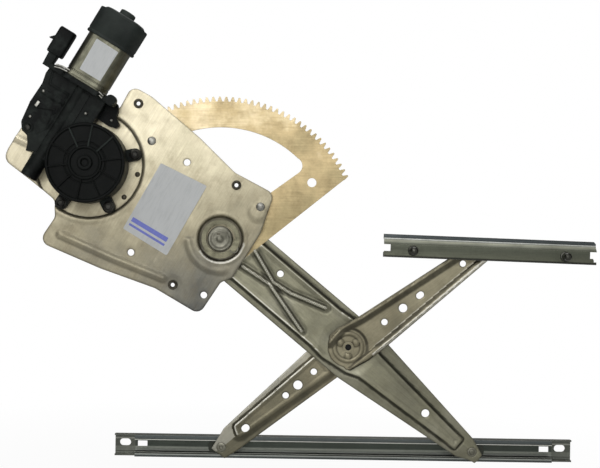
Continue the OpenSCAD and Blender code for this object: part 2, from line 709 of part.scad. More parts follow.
// Glass rail: a channel open to the arms, its lips cut back at both ends
lip_cut = 22;
glass_rail_z = lift_end[1];
module glass_rail() {
    h = glass_rail_h;
    x0 = glass_rail_x;
    slot_x = x0 + glass_slot_in;
    slot_end = x0 + glass_rail_len - glass_slot_end;
    color(steel) difference() {
        translate([x0, 0, glass_rail_z]) rotate([90, 0, 90]) linear_extrude(glass_rail_len) difference() {
            translate([glass_rail_y, -h / 2]) square([rail_depth, h]);
            translate([glass_rail_y + rail_t, -h / 2 + rail_t]) square([rail_depth - 2 * rail_t, h - 2 * rail_t]);
            translate([glass_rail_y - cut, -h / 2 + rail_t + rail_lip])
                square([rail_t + 2 * cut, h - 2 * (rail_t + rail_lip)]);
        }
        // lips and flanges trimmed at both ends
        for (x = [x0 - cut, x0 + glass_rail_len - lip_cut])
            translate([x, glass_rail_y - cut, glass_rail_z - h / 2 - cut])
                cube([lip_cut + cut, rail_depth / 2, h + 2 * cut]);
        // shallow groove along the web
        translate([x0 + lip_cut, glass_rail_y + rail_depth - 0.5, glass_rail_z - 4])
            cube([glass_rail_len - 2 * lip_cut, 1, 8]);
        for (x = [slot_x, slot_end])
            at([x, glass_rail_z + 2], glass_rail_y + rail_depth + cut) rotate([90, 0, 0])
                linear_extrude(rail_depth) slot(slot_len, slot_r);
        for (x = [slot_x + 18.4, slot_end - 16.9])
            translate([x, glass_rail_y + rail_depth, glass_rail_z + 0.8]) cube([10.2, 6, 5.9], center = true);
    }
}

// Fixed rail: web and studs towards the motor side, sloped shoulder above the web
stud_drop = 4.4;
stud_collar = 2.2;
stud_root_r = stud_r + 0.5;
stud_x = [stud_start, stud_start + stud_gap];
shoulder = 5.5;
slope_foot = 1.8;
slope_head = 5.1;
end_notch = 6.8;
function on_fixed(t, s) = turned([t, s], -rail_fall);
module fixed_rail_profile() {
    h = fixed_rail_h / 2;
    y0 = fixed_rail_y;
    y1 = fixed_rail_back;
    difference() {
        polygon([[y1, -h], [y0, -h], [y0, slope_foot], [y0 + shoulder, h - slope_head], [y0 + shoulder, h], [y1, h]]);
        polygon([[y1 - rail_t, -h + rail_t], [y0 + rail_t, -h + rail_t], [y0 + rail_t, slope_foot - 0.6],
            [y0 + shoulder + rail_t, h - slope_head - 0.6], [y0 + shoulder + rail_t, h - rail_t],
            [y1 - rail_t, h - rail_t]]);
        translate([y1 - rail_t - cut, -h + rail_t + rail_lip]) square([rail_t + 2 * cut, 2 * h - 2 * (rail_t + rail_lip)]);
    }
}
module fixed_rail() {
    rail_right = fixed_rail_start + fixed_rail_len;
    color(steel) rotate([0, rail_fall, 0]) difference() {
        translate([fixed_rail_start, 0, 0]) rotate([90, 0, 90]) linear_extrude(fixed_rail_len) fixed_rail_profile();
        // notches in both ends of the web, the right one with a step
        translate([fixed_rail_start - cut, fixed_rail_y - cut, -5.7]) cube([end_notch + cut, shoulder, 7]);
        translate([rail_right - end_notch, fixed_rail_y - cut, -5.6]) cube([end_notch + cut, shoulder, 6.9]);
        translate([rail_right - 3.4, fixed_rail_y - cut, -9.2]) cube([4, shoulder, 4]);
        // cut corner
        translate([rail_right, fixed_rail_back, fixed_rail_h / 2]) rotate([0, 45, 0])
            cube([3, 3 * fixed_rail_h, 3], center = true);
        for (x = stud_x) bar([x, -stud_drop], fixed_rail_y - cut, fixed_rail_y + 4, stud_root_r);
    }
}
module fixed_rail_studs() {
    color(bright) rotate([0, rail_fall, 0]) for (x = stud_x) {
        bar([x, -stud_drop], fixed_rail_y - stud_len, fixed_rail_y - stud_collar, stud_r);
        bar([x, -stud_drop], fixed_rail_y - stud_collar, fixed_rail_y, stud_r + 1.4);
        bar([x, -stud_drop], fixed_rail_y, fixed_rail_y + rail_t, stud_root_r);
    }
}

// Gear housing: wheel cup, worm tube and motor flange in one moulding
tube_r = 9.2;
bore_r = 7.6;
flange_w = 38;
module gear_housing() {
    color(black) difference() {
        union() {
            bar(pinion_at, housing_front, recess_depth, housing_r);
            for (a = lug_dir) lug(a);
            motor_frame() {
                translate([0, 0, -43.5]) cylinder(h = 43.5 + can_start - 4, r = tube_r);
                translate([0, 0, can_start - 5]) linear_extrude(5) flange_shape();
                translate([-1, -7, 20]) cube([30, 17, can_start - 24]);
                translate([2 - tube_r, -8, -20]) cube([tube_r + 10, 16, can_start + 12]);
            }
        }
        // wheel chamber open to the front, under the cover
        bar(pinion_at, housing_front - cut, motor_y + wheel_t / 2 + 1, housing_r - housing_wall);
        bar(pinion_at, motor_y, recess_depth + cut, output_sleeve_r);
        motor_frame() {
            translate([0, 0, -38]) cylinder(h = 38 + 24, r = bore_r);
            translate([0, 0, 23]) cylinder(h = can_start - 23 + cut, r = shaft_r + 2);
            translate([0, 0, -41.5]) cylinder(h = 5, r = 5);
            translate([0, 0, can_start - 9]) cylinder(h = 10, r = 6);
        }
        for (a = lug_dir) bar(pinion_at + polar(lug_r, a), -30, 9, screw_r);
    }
}
module flange_shape() {
    square([2 * flange_w, 2 * can_flat - 8], center = true);
    intersection() {
        circle(r = can_r + 2.5);
        square([90, 2 * can_flat + 2], center = true);
    }
}
lug_y = -7;
lug_end_r = 6.4;
module lug(a) {
    reach = lug_r - housing_r + 4;
    sheet(lug_y, recess_depth - lug_y) translate(pinion_at) rotate(a) {
        translate([lug_r, 0]) circle(r = lug_end_r);
        translate([lug_r - reach, -lug_end_r]) square([reach, 2 * lug_end_r]);
    }
}
output_sleeve_r = 10.4;

// Pocket between two ribs of the cover, from radius r0 to r1
module cover_pocket(r0, r1, y0, y1) {
    gap = 36;
    half_rib = 0.9;
    intersection() {
        difference() {
            bar([0, 0], y0 - cut, y1, r1);
            bar([0, 0], y0 - 2 * cut, y1 + cut, r0);
        }
        sheet(y0 - 1, y1 - y0 + 2) polygon([polar(half_rib / sin(gap / 2), gap / 2),
            [3 * r1, half_rib], polar(3 * r1, gap) + polar(half_rib, gap - 90)]);
    }
}
module gear_cover() {
    face = housing_front - cover_t;
    rib_face = face - cover_rib_h;
    color(black) difference() {
        union() {
            bar(pinion_at, face, housing_front, housing_r);
            difference() {
                bar(pinion_at, rib_face, face + 1, housing_r - 0.6);
                for (a = [0:36:324]) at(pinion_at) rotate([0, -a - 7, 0]) {
                    cover_pocket(8.4, 15.5, rib_face, face);
                    cover_pocket(17.5, housing_r - 3, rib_face, face);
                }
            }
            bar(pinion_at, rib_face - 0.6, face, 7.6);
        }
        bar(pinion_at, rib_face - 2, housing_front - 1.6, 3.6);
    }
}

module mounting_screws() {
    color(bright) for (a = lug_dir) {
        p = pinion_at + polar(lug_r, a);
        bar(p, lug_y, recess_depth + plate_t, screw_r);
        bar(p, lug_y - 1.2, lug_y, 6);
        difference() {
            bar(p, lug_y - 4.4, lug_y - 1.2, 4.6);
            bar(p, lug_y - 6, lug_y - 2.6, 2.4);
        }
    }
}

module can_section(grow) {
    intersection() {
        circle(r = can_r + grow);
        square([2 * (can_r + grow) + 1, 2 * (can_flat + grow)], center = true);
    }
}
module motor_can() {
    color(bright) motor_frame() difference() {
        union() {
            translate([0, 0, can_start]) linear_extrude(can_len) can_section(0);
            translate([0, 0, can_end]) cylinder(h = 5, r = 6.6);
            translate([0, 0, can_start]) linear_extrude(1.6) can_section(2.4);
        }
        translate([0, 0, can_start - cut]) linear_extrude(can_len + cut - can_wall) can_section(-can_wall);
        translate([0, 0, can_end - can_wall - cut]) cylinder(h = 4.5 + can_wall, r = 5);
    }
}
module motor_end_cap() {
    color(black) motor_frame() difference() {
        union() {
            translate([0, 0, cap_start]) linear_extrude(cap_len + 3) can_section(cap_wall);
            translate([0, 0, can_end + 3]) cylinder(h = 9, r = 7.6);
        }
        translate([0, 0, cap_start - cut]) linear_extrude(cap_len + cut) can_section(0);
        translate([0, 0, can_end - cut]) cylinder(h = 5 + cut, r = 6.6);
    }
}
magnet_in = 16;
module field_magnets() {
    r = can_r - can_wall;
    color([0.25, 0.25, 0.27]) motor_frame() translate([0, 0, can_start + 18]) linear_extrude(44)
        for (side = [0, 180]) rotate(side) intersection() {
            difference() {
                circle(r = r);
                circle(r = magnet_in);
            }
            polygon([[0, 0], polar(40, -40), polar(40, 40)]);
        }
}
module brush_holder() {
    color([0.35, 0.27, 0.2]) motor_frame() {
        difference() {
            translate([0, 0, can_start + 3]) linear_extrude(3) can_section(-can_wall);
            translate([0, 0, can_start]) cylinder(h = 9, r = 9.4);
        }
        for (side = [0, 180]) rotate([0, 0, side]) translate([8.3, -2.5, can_start + 6]) cube([10, 5, 6]);
    }
}
module bearing(z, len, r) {
    color([0.66, 0.5, 0.28]) motor_frame() difference() {
        translate([0, 0, z]) cylinder(h = len, r = r);
        translate([0, 0, z - cut]) cylinder(h = len + 2 * cut, r = shaft_r + run_gap);
    }
}
module rear_bearing() {
    bearing(can_end - can_wall, 4.3, 5);
}
module front_bearing() {
    bearing(can_start - 9, 6, 6);
}
module tail_bearing() {
    bearing(-41.3, 3.3, 5);
}

// Armature: shaft with the worm, laminated core with slots and the commutator
worm_turns = 4;
worm_pitch = PI * worm_m;
worm_len = worm_turns * worm_pitch;
worm_tip = worm_r + 0.8 * worm_m;
worm_root = worm_r - 1.2 * worm_m;
function thread_r(a) = let (d = abs((a + 540) % 360 - 180) / 180)
    worm_tip - (worm_tip - worm_root) * max(0, min(1, (d - 0.3) / 0.28));
// A thread crest faces the worm wheel at mid length
worm_phase = -180 * worm_turns;
module armature_shaft() {
    points = 14;
    color(bright) motor_frame() {
        translate([0, 0, -41]) cylinder(h = 42 - worm_len / 2, r = shaft_r);
        translate([0, 0, worm_len / 2 - 1]) cylinder(h = can_end + 3 - worm_len / 2, r = shaft_r);
        rotate([0, 0, worm_phase]) translate([0, 0, -worm_len / 2])
            linear_extrude(worm_len, twist = -360 * worm_turns, slices = 12 * worm_turns, $fn = points)
            polygon([for (i = [0:points - 1]) polar(thread_r(360 * i / points), 360 * i / points)]);
    }
}
core_start = 20;
core_len = 38;
module armature_core() {
    color([0.3, 0.3, 0.3]) motor_frame() translate([0, 0, can_start + core_start]) linear_extrude(core_len) difference() {
        circle(r = magnet_in - 0.8);
        circle(r = shaft_r);
        for (a = [0:45:315]) rotate(a) {
            translate([8, -1.6]) square([5, 3.2]);
            translate([12, -0.7]) square([6, 1.4]);
        }
    }
}
module commutator() {
    color([0.7, 0.42, 0.26]) motor_frame() difference() {
        translate([0, 0, can_start + 4]) cylinder(h = 13, r = 8);
        translate([0, 0, can_start + 3]) cylinder(h = 15, r = shaft_r);
        for (a = [0:45:315]) rotate([0, 0, a]) translate([7, -0.3, can_start + 3]) cube([2, 0.6, 15]);
    }
}

// Worm wheel, its rubber damper and the output pinion on one axis; a tooth space faces the worm
worm_dir = 180 - motor_lean;
wheel_step = 360 / wheel_teeth;
wheel_phase = worm_dir - (floor(worm_dir / wheel_step) + 0.5) * wheel_step;
module worm_wheel() {
    y0 = motor_y - wheel_t / 2;
    root = wheel_r - 1.2 * worm_m;
    tip = wheel_r + 0.8 * worm_m;
    color([0.86, 0.84, 0.78]) difference() {
        sheet(y0, wheel_t) translate(pinion_at) rotate(wheel_phase) polygon([for (i = [0:wheel_teeth - 1])
            each [for (e = [[root, -0.30], [tip, -0.13], [tip, 0.13], [root, 0.30]])
                polar(e[0], (i + e[1]) * wheel_step)]]);
        bar(pinion_at, y0 - cut, y0 + wheel_t + cut, 6);
        // damper chamber with three driving ribs
        difference() {
            bar(pinion_at, y0 - cut, y0 + wheel_t - 2, 27);
            bar(pinion_at, y0 - 1, y0 + wheel_t, 9);
            for (a = [0:120:240]) at(pinion_at) rotate([0, -a, 0]) translate([18, y0 - 1, -2]) cube([12, wheel_t + 1, 4]);
        }
    }
}
module rubber_damper() {
    y0 = motor_y - wheel_t / 2;
    color(black) difference() {
        bar(pinion_at, y0 + 0.5, y0 + wheel_t - 2, 26.8);
        bar(pinion_at, y0, y0 + wheel_t, 9.2);
        for (a = [0:120:240]) at(pinion_at) rotate([0, -a, 0]) translate([17.8, y0 - 1, -2.2]) cube([12, wheel_t, 4.4]);
        for (a = [60:120:300]) at(pinion_at) rotate([0, -a, 0]) translate([8, y0 - 1, -2.2]) cube([14, wheel_t, 4.4]);
    }
}
pinion_root = pinion_r - (1.25 - tooth_shift) * gear_m;
pinion_tip = pinion_r + (1 + tooth_shift) * gear_m - 0.45;
module output_pinion() {
    y0 = motor_y - wheel_t / 2;
    drive_y = y0 - 2.2;
    color(steel) {
        sheet(recess_depth + plate_t + 0.4, sector_t + 1.8) translate(pinion_at)
            rotate(pinion_dir + 180) polygon([for (i = [0:pinion_teeth - 1])
                each tooth(pinion_r, pinion_teeth, tooth_shift, pinion_root, pinion_tip, i * 360 / pinion_teeth)]);
        bar(pinion_at, motor_y + wheel_t / 2 + 1.2, recess_depth + plate_t + 0.4, 7.9);
        bar(pinion_at, drive_y, motor_y + wheel_t / 2 + 1.2, 5.8);
        // driving plate with three fingers into the damper
        bar(pinion_at, drive_y, y0 - 0.4, 24);
        for (a = [60:120:300]) at(pinion_at) rotate([0, -a, 0])
            translate([10, y0 - 0.6, -2]) cube([11, wheel_t - 2.2, 4]);
    }
}
module output_bush() {
    color([0.66, 0.5, 0.28]) difference() {
        bar(pinion_at, motor_y + wheel_t / 2 + 1.4, recess_depth + 1.2, output_sleeve_r);
        bar(pinion_at, motor_y, recess_depth + 3, 7.9 + run_gap);
    }
}

// Electronics beside the worm tube, with the socket above it
case_y0 = motor_y - 9;
case_y1 = -2.5;
case_left = -36;
case_right = -tube_r - 0.4;
case_top = can_start - 5.2;
case_foot = -20;
case_bend = 34;
case_wall = 2;
module electronics_case() {
    color(black) motor_frame() translate([0, motor_out, 0]) difference() {
        translate([0, case_y1, 0]) rotate([90, 0, 0]) linear_extrude(case_y1 - case_y0)
            polygon(rounded([[case_left, case_foot + 10, 6], [case_left + 8, case_foot + 2, 5], [case_right, case_foot, 1],
                [case_right, case_top, 1], [case_left - 8, case_top, 4], [case_left - 6, case_bend + 12, 6],
                [case_left, case_bend, 6]]));
        translate([0, case_y1 - case_wall, 0]) rotate([90, 0, 0]) linear_extrude(case_y1 - case_y0 - 2 * case_wall)
            polygon([[case_left + case_wall, case_wall], [case_right - case_wall, case_wall],
                [case_right - case_wall, case_top - case_wall], [case_left - 5, case_top - case_wall],
                [case_left - 3.6, case_bend + 12], [case_left + case_wall, case_bend]]);
        translate([-27, case_y0 - cut, -7]) rotate([-90, 0, 0]) cylinder(h = 8, r = 1.5);
    }
}
board_t = 1.6;
relay_h = 6;
module control_board() {
    color([0.12, 0.35, 0.2]) motor_frame() translate([0, motor_out, 0]) {
        // board and the relay on it
        translate([case_left + 3, case_y1 - case_wall - board_t, 4]) cube([18, board_t, case_top - 16]);
        translate([case_left + 6, case_y1 - case_wall - board_t - relay_h, 12]) cube([11, relay_h, 15]);
    }
}
socket_s = -43.2;
socket_w = 18;
socket_d = 14;
socket_top = 108;
socket_floor = 88;
module connector_socket() {
    color(black) motor_frame() translate([socket_s - socket_w / 2, -7, 0]) difference() {
        union() {
            translate([0, 0, 78]) cube([socket_w, socket_d, socket_top - 78]);
            translate([4, 2, case_top]) cube([socket_w / 2 - flange_w - socket_s - 4.4, 10, 79 - case_top]);
            translate([-3, 5, socket_top - 12]) cube([3, 4, 6]);
        }
        translate([1.8, 1.8, socket_floor]) cube([socket_w - 3.6, socket_d - 3.6, socket_top - socket_floor + cut]);
    }
}
module connector_pins() {
    color([0.7, 0.6, 0.35]) motor_frame() for (i = [0:3], j = [0:1])
        translate([socket_s - 5.25 + 3.5 * i - 0.4, -2.4 + 4 * j, socket_floor]) cube([0.8, 0.8, 9]);
}
module case_screws() {
    color(bright) {
        motor_frame() translate([-27, motor_out, -7]) rotate([-90, 0, 0]) {
            translate([0, 0, case_y0]) cylinder(h = 6, r = 1.5);
            translate([0, 0, case_y0 - 2]) cylinder(h = 2, r = 3.4);
        }
        motor_frame() for (side = [-1, 1]) translate([side * 32, 0, can_start]) cylinder(h = 3.4, r = 4);
    }
}

base_plate();
clinch_nuts();
plate_rivets();
pivot_bush();
counterbalance_spring();
gear_housing();
gear_cover();
mounting_screws();
motor_can();
motor_end_cap();
field_magnets();
brush_holder();
rear_bearing();
front_bearing();
tail_bearing();
electronics_case();
control_board();
connector_socket();
connector_pins();
case_screws();
output_bush();
fixed_rail();
fixed_rail_studs();
armature_shaft();
armature_core();
commutator();
worm_wheel();
rubber_damper();
output_pinion();
sector_gear();
lift_arm();
sector_rivets();
pivot_pin();
lift_slider_pin();
centre_bush();
equalizer_front_arm();
equalizer_rear_arm();
centre_pin();
front_slider_pin();
rear_slider_pin();
lift_slider();
rear_slider();
front_slider();
glass_rail();
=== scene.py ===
"""Looks of a powered window regulator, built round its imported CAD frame.

Every length is in metres and every piece stands in the frame of the CAD model: X runs along the door,
Z is up, Y runs away from the motor side, and the main pivot is the origin.
"""

import logging
import math
from collections.abc import Callable, Sequence
from dataclasses import dataclass, field
from enum import Enum
from typing import Any

import bmesh
import bpy
import numpy as np
from mathutils import Matrix, Vector
from mathutils.geometry import delaunay_2d_cdt


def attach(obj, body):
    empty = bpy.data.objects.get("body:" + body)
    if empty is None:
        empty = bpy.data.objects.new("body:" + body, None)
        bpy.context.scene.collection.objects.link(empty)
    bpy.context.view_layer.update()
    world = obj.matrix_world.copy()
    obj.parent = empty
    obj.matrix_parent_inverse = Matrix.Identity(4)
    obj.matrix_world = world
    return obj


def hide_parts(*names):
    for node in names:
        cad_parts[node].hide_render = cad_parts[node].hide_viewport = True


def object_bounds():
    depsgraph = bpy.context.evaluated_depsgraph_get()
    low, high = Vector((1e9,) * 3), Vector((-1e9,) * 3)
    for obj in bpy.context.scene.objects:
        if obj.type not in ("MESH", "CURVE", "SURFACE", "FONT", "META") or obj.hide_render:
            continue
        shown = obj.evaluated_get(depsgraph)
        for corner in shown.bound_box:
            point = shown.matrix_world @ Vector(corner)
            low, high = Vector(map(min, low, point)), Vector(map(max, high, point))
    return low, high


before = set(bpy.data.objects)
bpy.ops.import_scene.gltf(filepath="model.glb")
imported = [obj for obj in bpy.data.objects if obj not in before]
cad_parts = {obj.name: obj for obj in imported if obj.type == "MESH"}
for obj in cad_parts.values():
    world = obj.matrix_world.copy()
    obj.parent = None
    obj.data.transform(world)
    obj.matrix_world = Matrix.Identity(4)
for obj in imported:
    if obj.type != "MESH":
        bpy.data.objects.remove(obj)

BMesh, BObject, NodeTree, Node = bmesh.types.BMesh, bpy.types.Object, bpy.types.NodeTree, bpy.types.Node
Array, Pairs, Colour = np.ndarray, Sequence[tuple[float, float]], tuple[float, float, float, float]

log = logging.getLogger("window_regulator")
MM = 0.001
CAD_BOX = [list(map(float, corner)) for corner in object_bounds()]
PINION_AT = (-138.807, 76.310)
CENTRE_AT = (136.1146, -112.2042)
# the three screws of the gear case stand on a circle round the pinion
LUG_RADIUS = 50
LUG_ANGLES = (12, -124, -64)
# grid step of both crossing arms, and the edge angle below which pressed sheet shades smoothly
ARM_STEP = 0.85
SHEET_SMOOTH_DEG = 58.0


class Body(Enum):
    """The bodies that the pieces ride on."""

    BASE = "base"
    LIFT = "lift"
    EQUALIZER = "equalizer"


class Axis(Enum):
    """Direction that a finish's rolling or drawing lines run in, as an angle in the plane of the linkage."""

    ALONG_X = 0.0
    LIFT_ARM = -39.5
    EQUALIZER = 38.0
    MOTOR = 59.3


# ---------------------------------------------------------------- colour and node helpers

# for a kind of node: the inputs that its values go to in order, its main output and its usual settings
NODES: dict[str, tuple[tuple, int | str, dict]] = {
    "ShaderNodeMix": ((0, 6, 7), 2, {"data_type": "RGBA"}),
    "ShaderNodeMapRange": ((0, 3, 4, 1, 2), 0, {}),
    "ShaderNodeTexNoise": (("Vector", "Scale", "Detail", "Roughness"), 0, {}),
    "ShaderNodeTexCoord": ((), "Object", {}),
    "ShaderNodeNewGeometry": ((), "Normal", {}),
    "ShaderNodeAttribute": ((), "Fac", {}),
    "ShaderNodeBevel": (("Radius",), 0, {"samples": 4}),
    "ShaderNodeVectorRotate": (("Vector", "Angle"), 0, {"rotation_type": "Y_AXIS"}),
    "ShaderNodeBump": (("Strength", "Distance", "Height", "Normal"), 0, {}),
    "ShaderNodeCombineXYZ": (("Y",), 0, {}),
    "GeometryNodeObjectInfo": (("Object",), "Geometry", {"transform_space": "ORIGINAL"}),
    "GeometryNodeInstanceOnPoints": (("Points", "Instance", "Rotation"), 0, {}),
    "FunctionNodeRandomValue": ((2, 3, 8), 1, {"data_type": "FLOAT"}),
    "GeometryNodeCurveSpiral": (("Rotations", "Start Radius", "End Radius", "Resolution", "Height"), 0, {}),
    "GeometryNodeSetCurveNormal": ((0,), 0, {"mode": "Z_UP"}),
    "GeometryNodeCurvePrimitiveQuadrilateral": (("Width", "Height"), 0, {}),
    "GeometryNodeCurveToMesh": (("Curve", "Profile Curve", "Fill Caps"), 0, {}),
    "GeometryNodeTransform": (("Geometry", "Rotation"), 0, {}),
    "GeometryNodeSetMaterial": (("Geometry", "Material"), 0, {}),
}
OTHER_NODE = ((0, 1, 2), 0, {})
MULTIPLY = {"operation": "MULTIPLY"}


def linear(code: str) -> Colour:
    """Turn an sRGB hex code into linear RGBA.

    Args:
        code: Six hex digits, with or without a leading hash.

    Returns:
        Red, green, blue and alpha in linear light.
    """
    values = [int(code.lstrip("#")[i : i + 2], 16) / 255 for i in (0, 2, 4)]
    bent = [v / 12.92 if v <= 0.04045 else ((v + 0.055) / 1.055) ** 2.4 for v in values]
    return (bent[0], bent[1], bent[2], 1.0)


def grey(value: float) -> Colour:
    """Give a grey of one linear value."""
    return (value, value, value, 1.0)


def per_mm(size_mm: float) -> float:
    """Give the scale of a pattern whose blotches are about this size."""
    return 1 / (size_mm * MM)


def fill(node: Node, key: int | str, value: Any) -> None:
    """Give one input of a node a value, or a link from a socket or from another node's main output.

    Args:
        node: Node that has the input.
        key: Name or number of the input.
        value: Value, socket or node.
    """
    if isinstance(value, Node):
        value = value.outputs[NODES.get(value.bl_idname, OTHER_NODE)[1]]
    if isinstance(value, bpy.types.NodeSocket):
        node.id_data.links.new(value, node.inputs[key])
    else:
        node.inputs[key].default_value = value


def add_node(
    tree: NodeTree, kind: str, *values: Any, stops: Sequence[tuple[float, str]] = (), **settings: Any
) -> Node:
    """Add one node with its settings, values and links.

    Args:
        tree: Node tree that takes the node.
        kind: Blender's type name of the node.
        values: Values, sockets or nodes for its inputs, in the order of NODES.
        stops: Places from 0 to 1 with hex codes, for a colour ramp.
        settings: Attributes of the node by name.

    Returns:
        The new node.
    """
    inputs, _, usual = NODES.get(kind, OTHER_NODE)
    node = tree.nodes.new(kind)
    for name, value in {**usual, **settings}.items():
        setattr(node, name, value)
    for key, value in zip(inputs, values):
        fill(node, key, value)
    for _ in stops[2:]:
        node.color_ramp.elements.new(0.5)
    for i, (place, code) in enumerate(stops):
        node.color_ramp.elements[i].position, node.color_ramp.elements[i].color = place, linear(code)
    return node


@dataclass
class Surface:
    """A started material with its shader and the coordinates that its patterns read."""

    name: str

    def __post_init__(self) -> None:
        """Start the node tree with one shader and its output."""
        self.material = bpy.data.materials.new(self.name)
        self.material.use_nodes = True
        self.tree = self.material.node_tree
        self.tree.nodes.clear()
        self.shader = self.add("BsdfPrincipled")
        self.add("OutputMaterial", self.shader)
        self.place = self.add("TexCoord")

    def add(self, kind: str, *values, **settings) -> Node:
        """Add a node to this material's tree, by its type name without the leading ShaderNode."""
        return add_node(self.tree, "ShaderNode" + kind, *values, **settings)

    def turned(self, angle_deg: float, stretch: float = 1.0) -> Node:
        """Give coordinates turned in the plane of the linkage and squeezed along their first axis."""
        turn = self.add("VectorRotate", self.place, math.radians(angle_deg))
        return self.add("VectorMath", turn, (1 / stretch, 1.0, 1.0), **MULTIPLY)

    def edge_mask(self, radius_mm: float = 0.5) -> Node:
        """Give a mask that is 1 on edges and 0 on plain faces.

        Args:
            radius_mm: Radius that edges are searched with, in millimetres.

        Returns:
            The mask's node.
        """
        bevel = self.add("Bevel", radius_mm * MM)
        dot = self.add("VectorMath", self.add("NewGeometry"), bevel, operation="DOT_PRODUCT").outputs["Value"]
        return self.add("MapRange", dot, 1.0, 0.0, 0.80, 0.98)

    def layered(self, colour: Node | Colour, *layers: tuple) -> Node:
        """Lay tints over a colour where their patterns rise.

        Args:
            colour: Colour below, as a node or a value.
            layers: For each the pattern, its greatest share, start and end of its rise, the tint, and the blend if
                it isn't a plain mix.

        Returns:
            The colour on top.
        """
        for pattern, most, start, end, tint, *blend in layers:
            share = self.add("MapRange", pattern, 0.0, most, start, end)
            colour = self.add("Mix", share, colour, linear(tint) if isinstance(tint, str) else tint,
                              blend_type=blend[0] if blend else "MIX")
        return colour

    def finish(
        self, colour: Node, rough: Sequence[tuple], height: Node, metallic: float, edge_mm: float, bump: float,
        depth_mm: float,
    ) -> bpy.types.Material:
        """Link colour, roughness and bump to the shader.

        Args:
            colour: Base colour.
            rough: Patterns that add up to the roughness, each with its least and greatest value.
            height: Height that the bump reads.
            metallic: Metallic value of the whole surface.
            edge_mm: Radius that edges seem to have.
            bump: Strength of the bump.
            depth_mm: Depth of the bump.

        Returns:
            The finished material.
        """
        roughness, *more = [self.add("MapRange", *part, 0.3, 0.7) for part in rough]
        for part in more:
            roughness = self.add("Math", roughness, part)
        relief = self.add("Bump", bump, depth_mm * MM, height, self.add("Bevel", edge_mm * MM))
        inputs = {"Metallic": metallic, "Base Color": colour, "Roughness": roughness, "Normal": relief}
        for name, value in inputs.items():
            fill(self.shader, name, value)
        return self.material


# ---------------------------------------------------------------- finishes


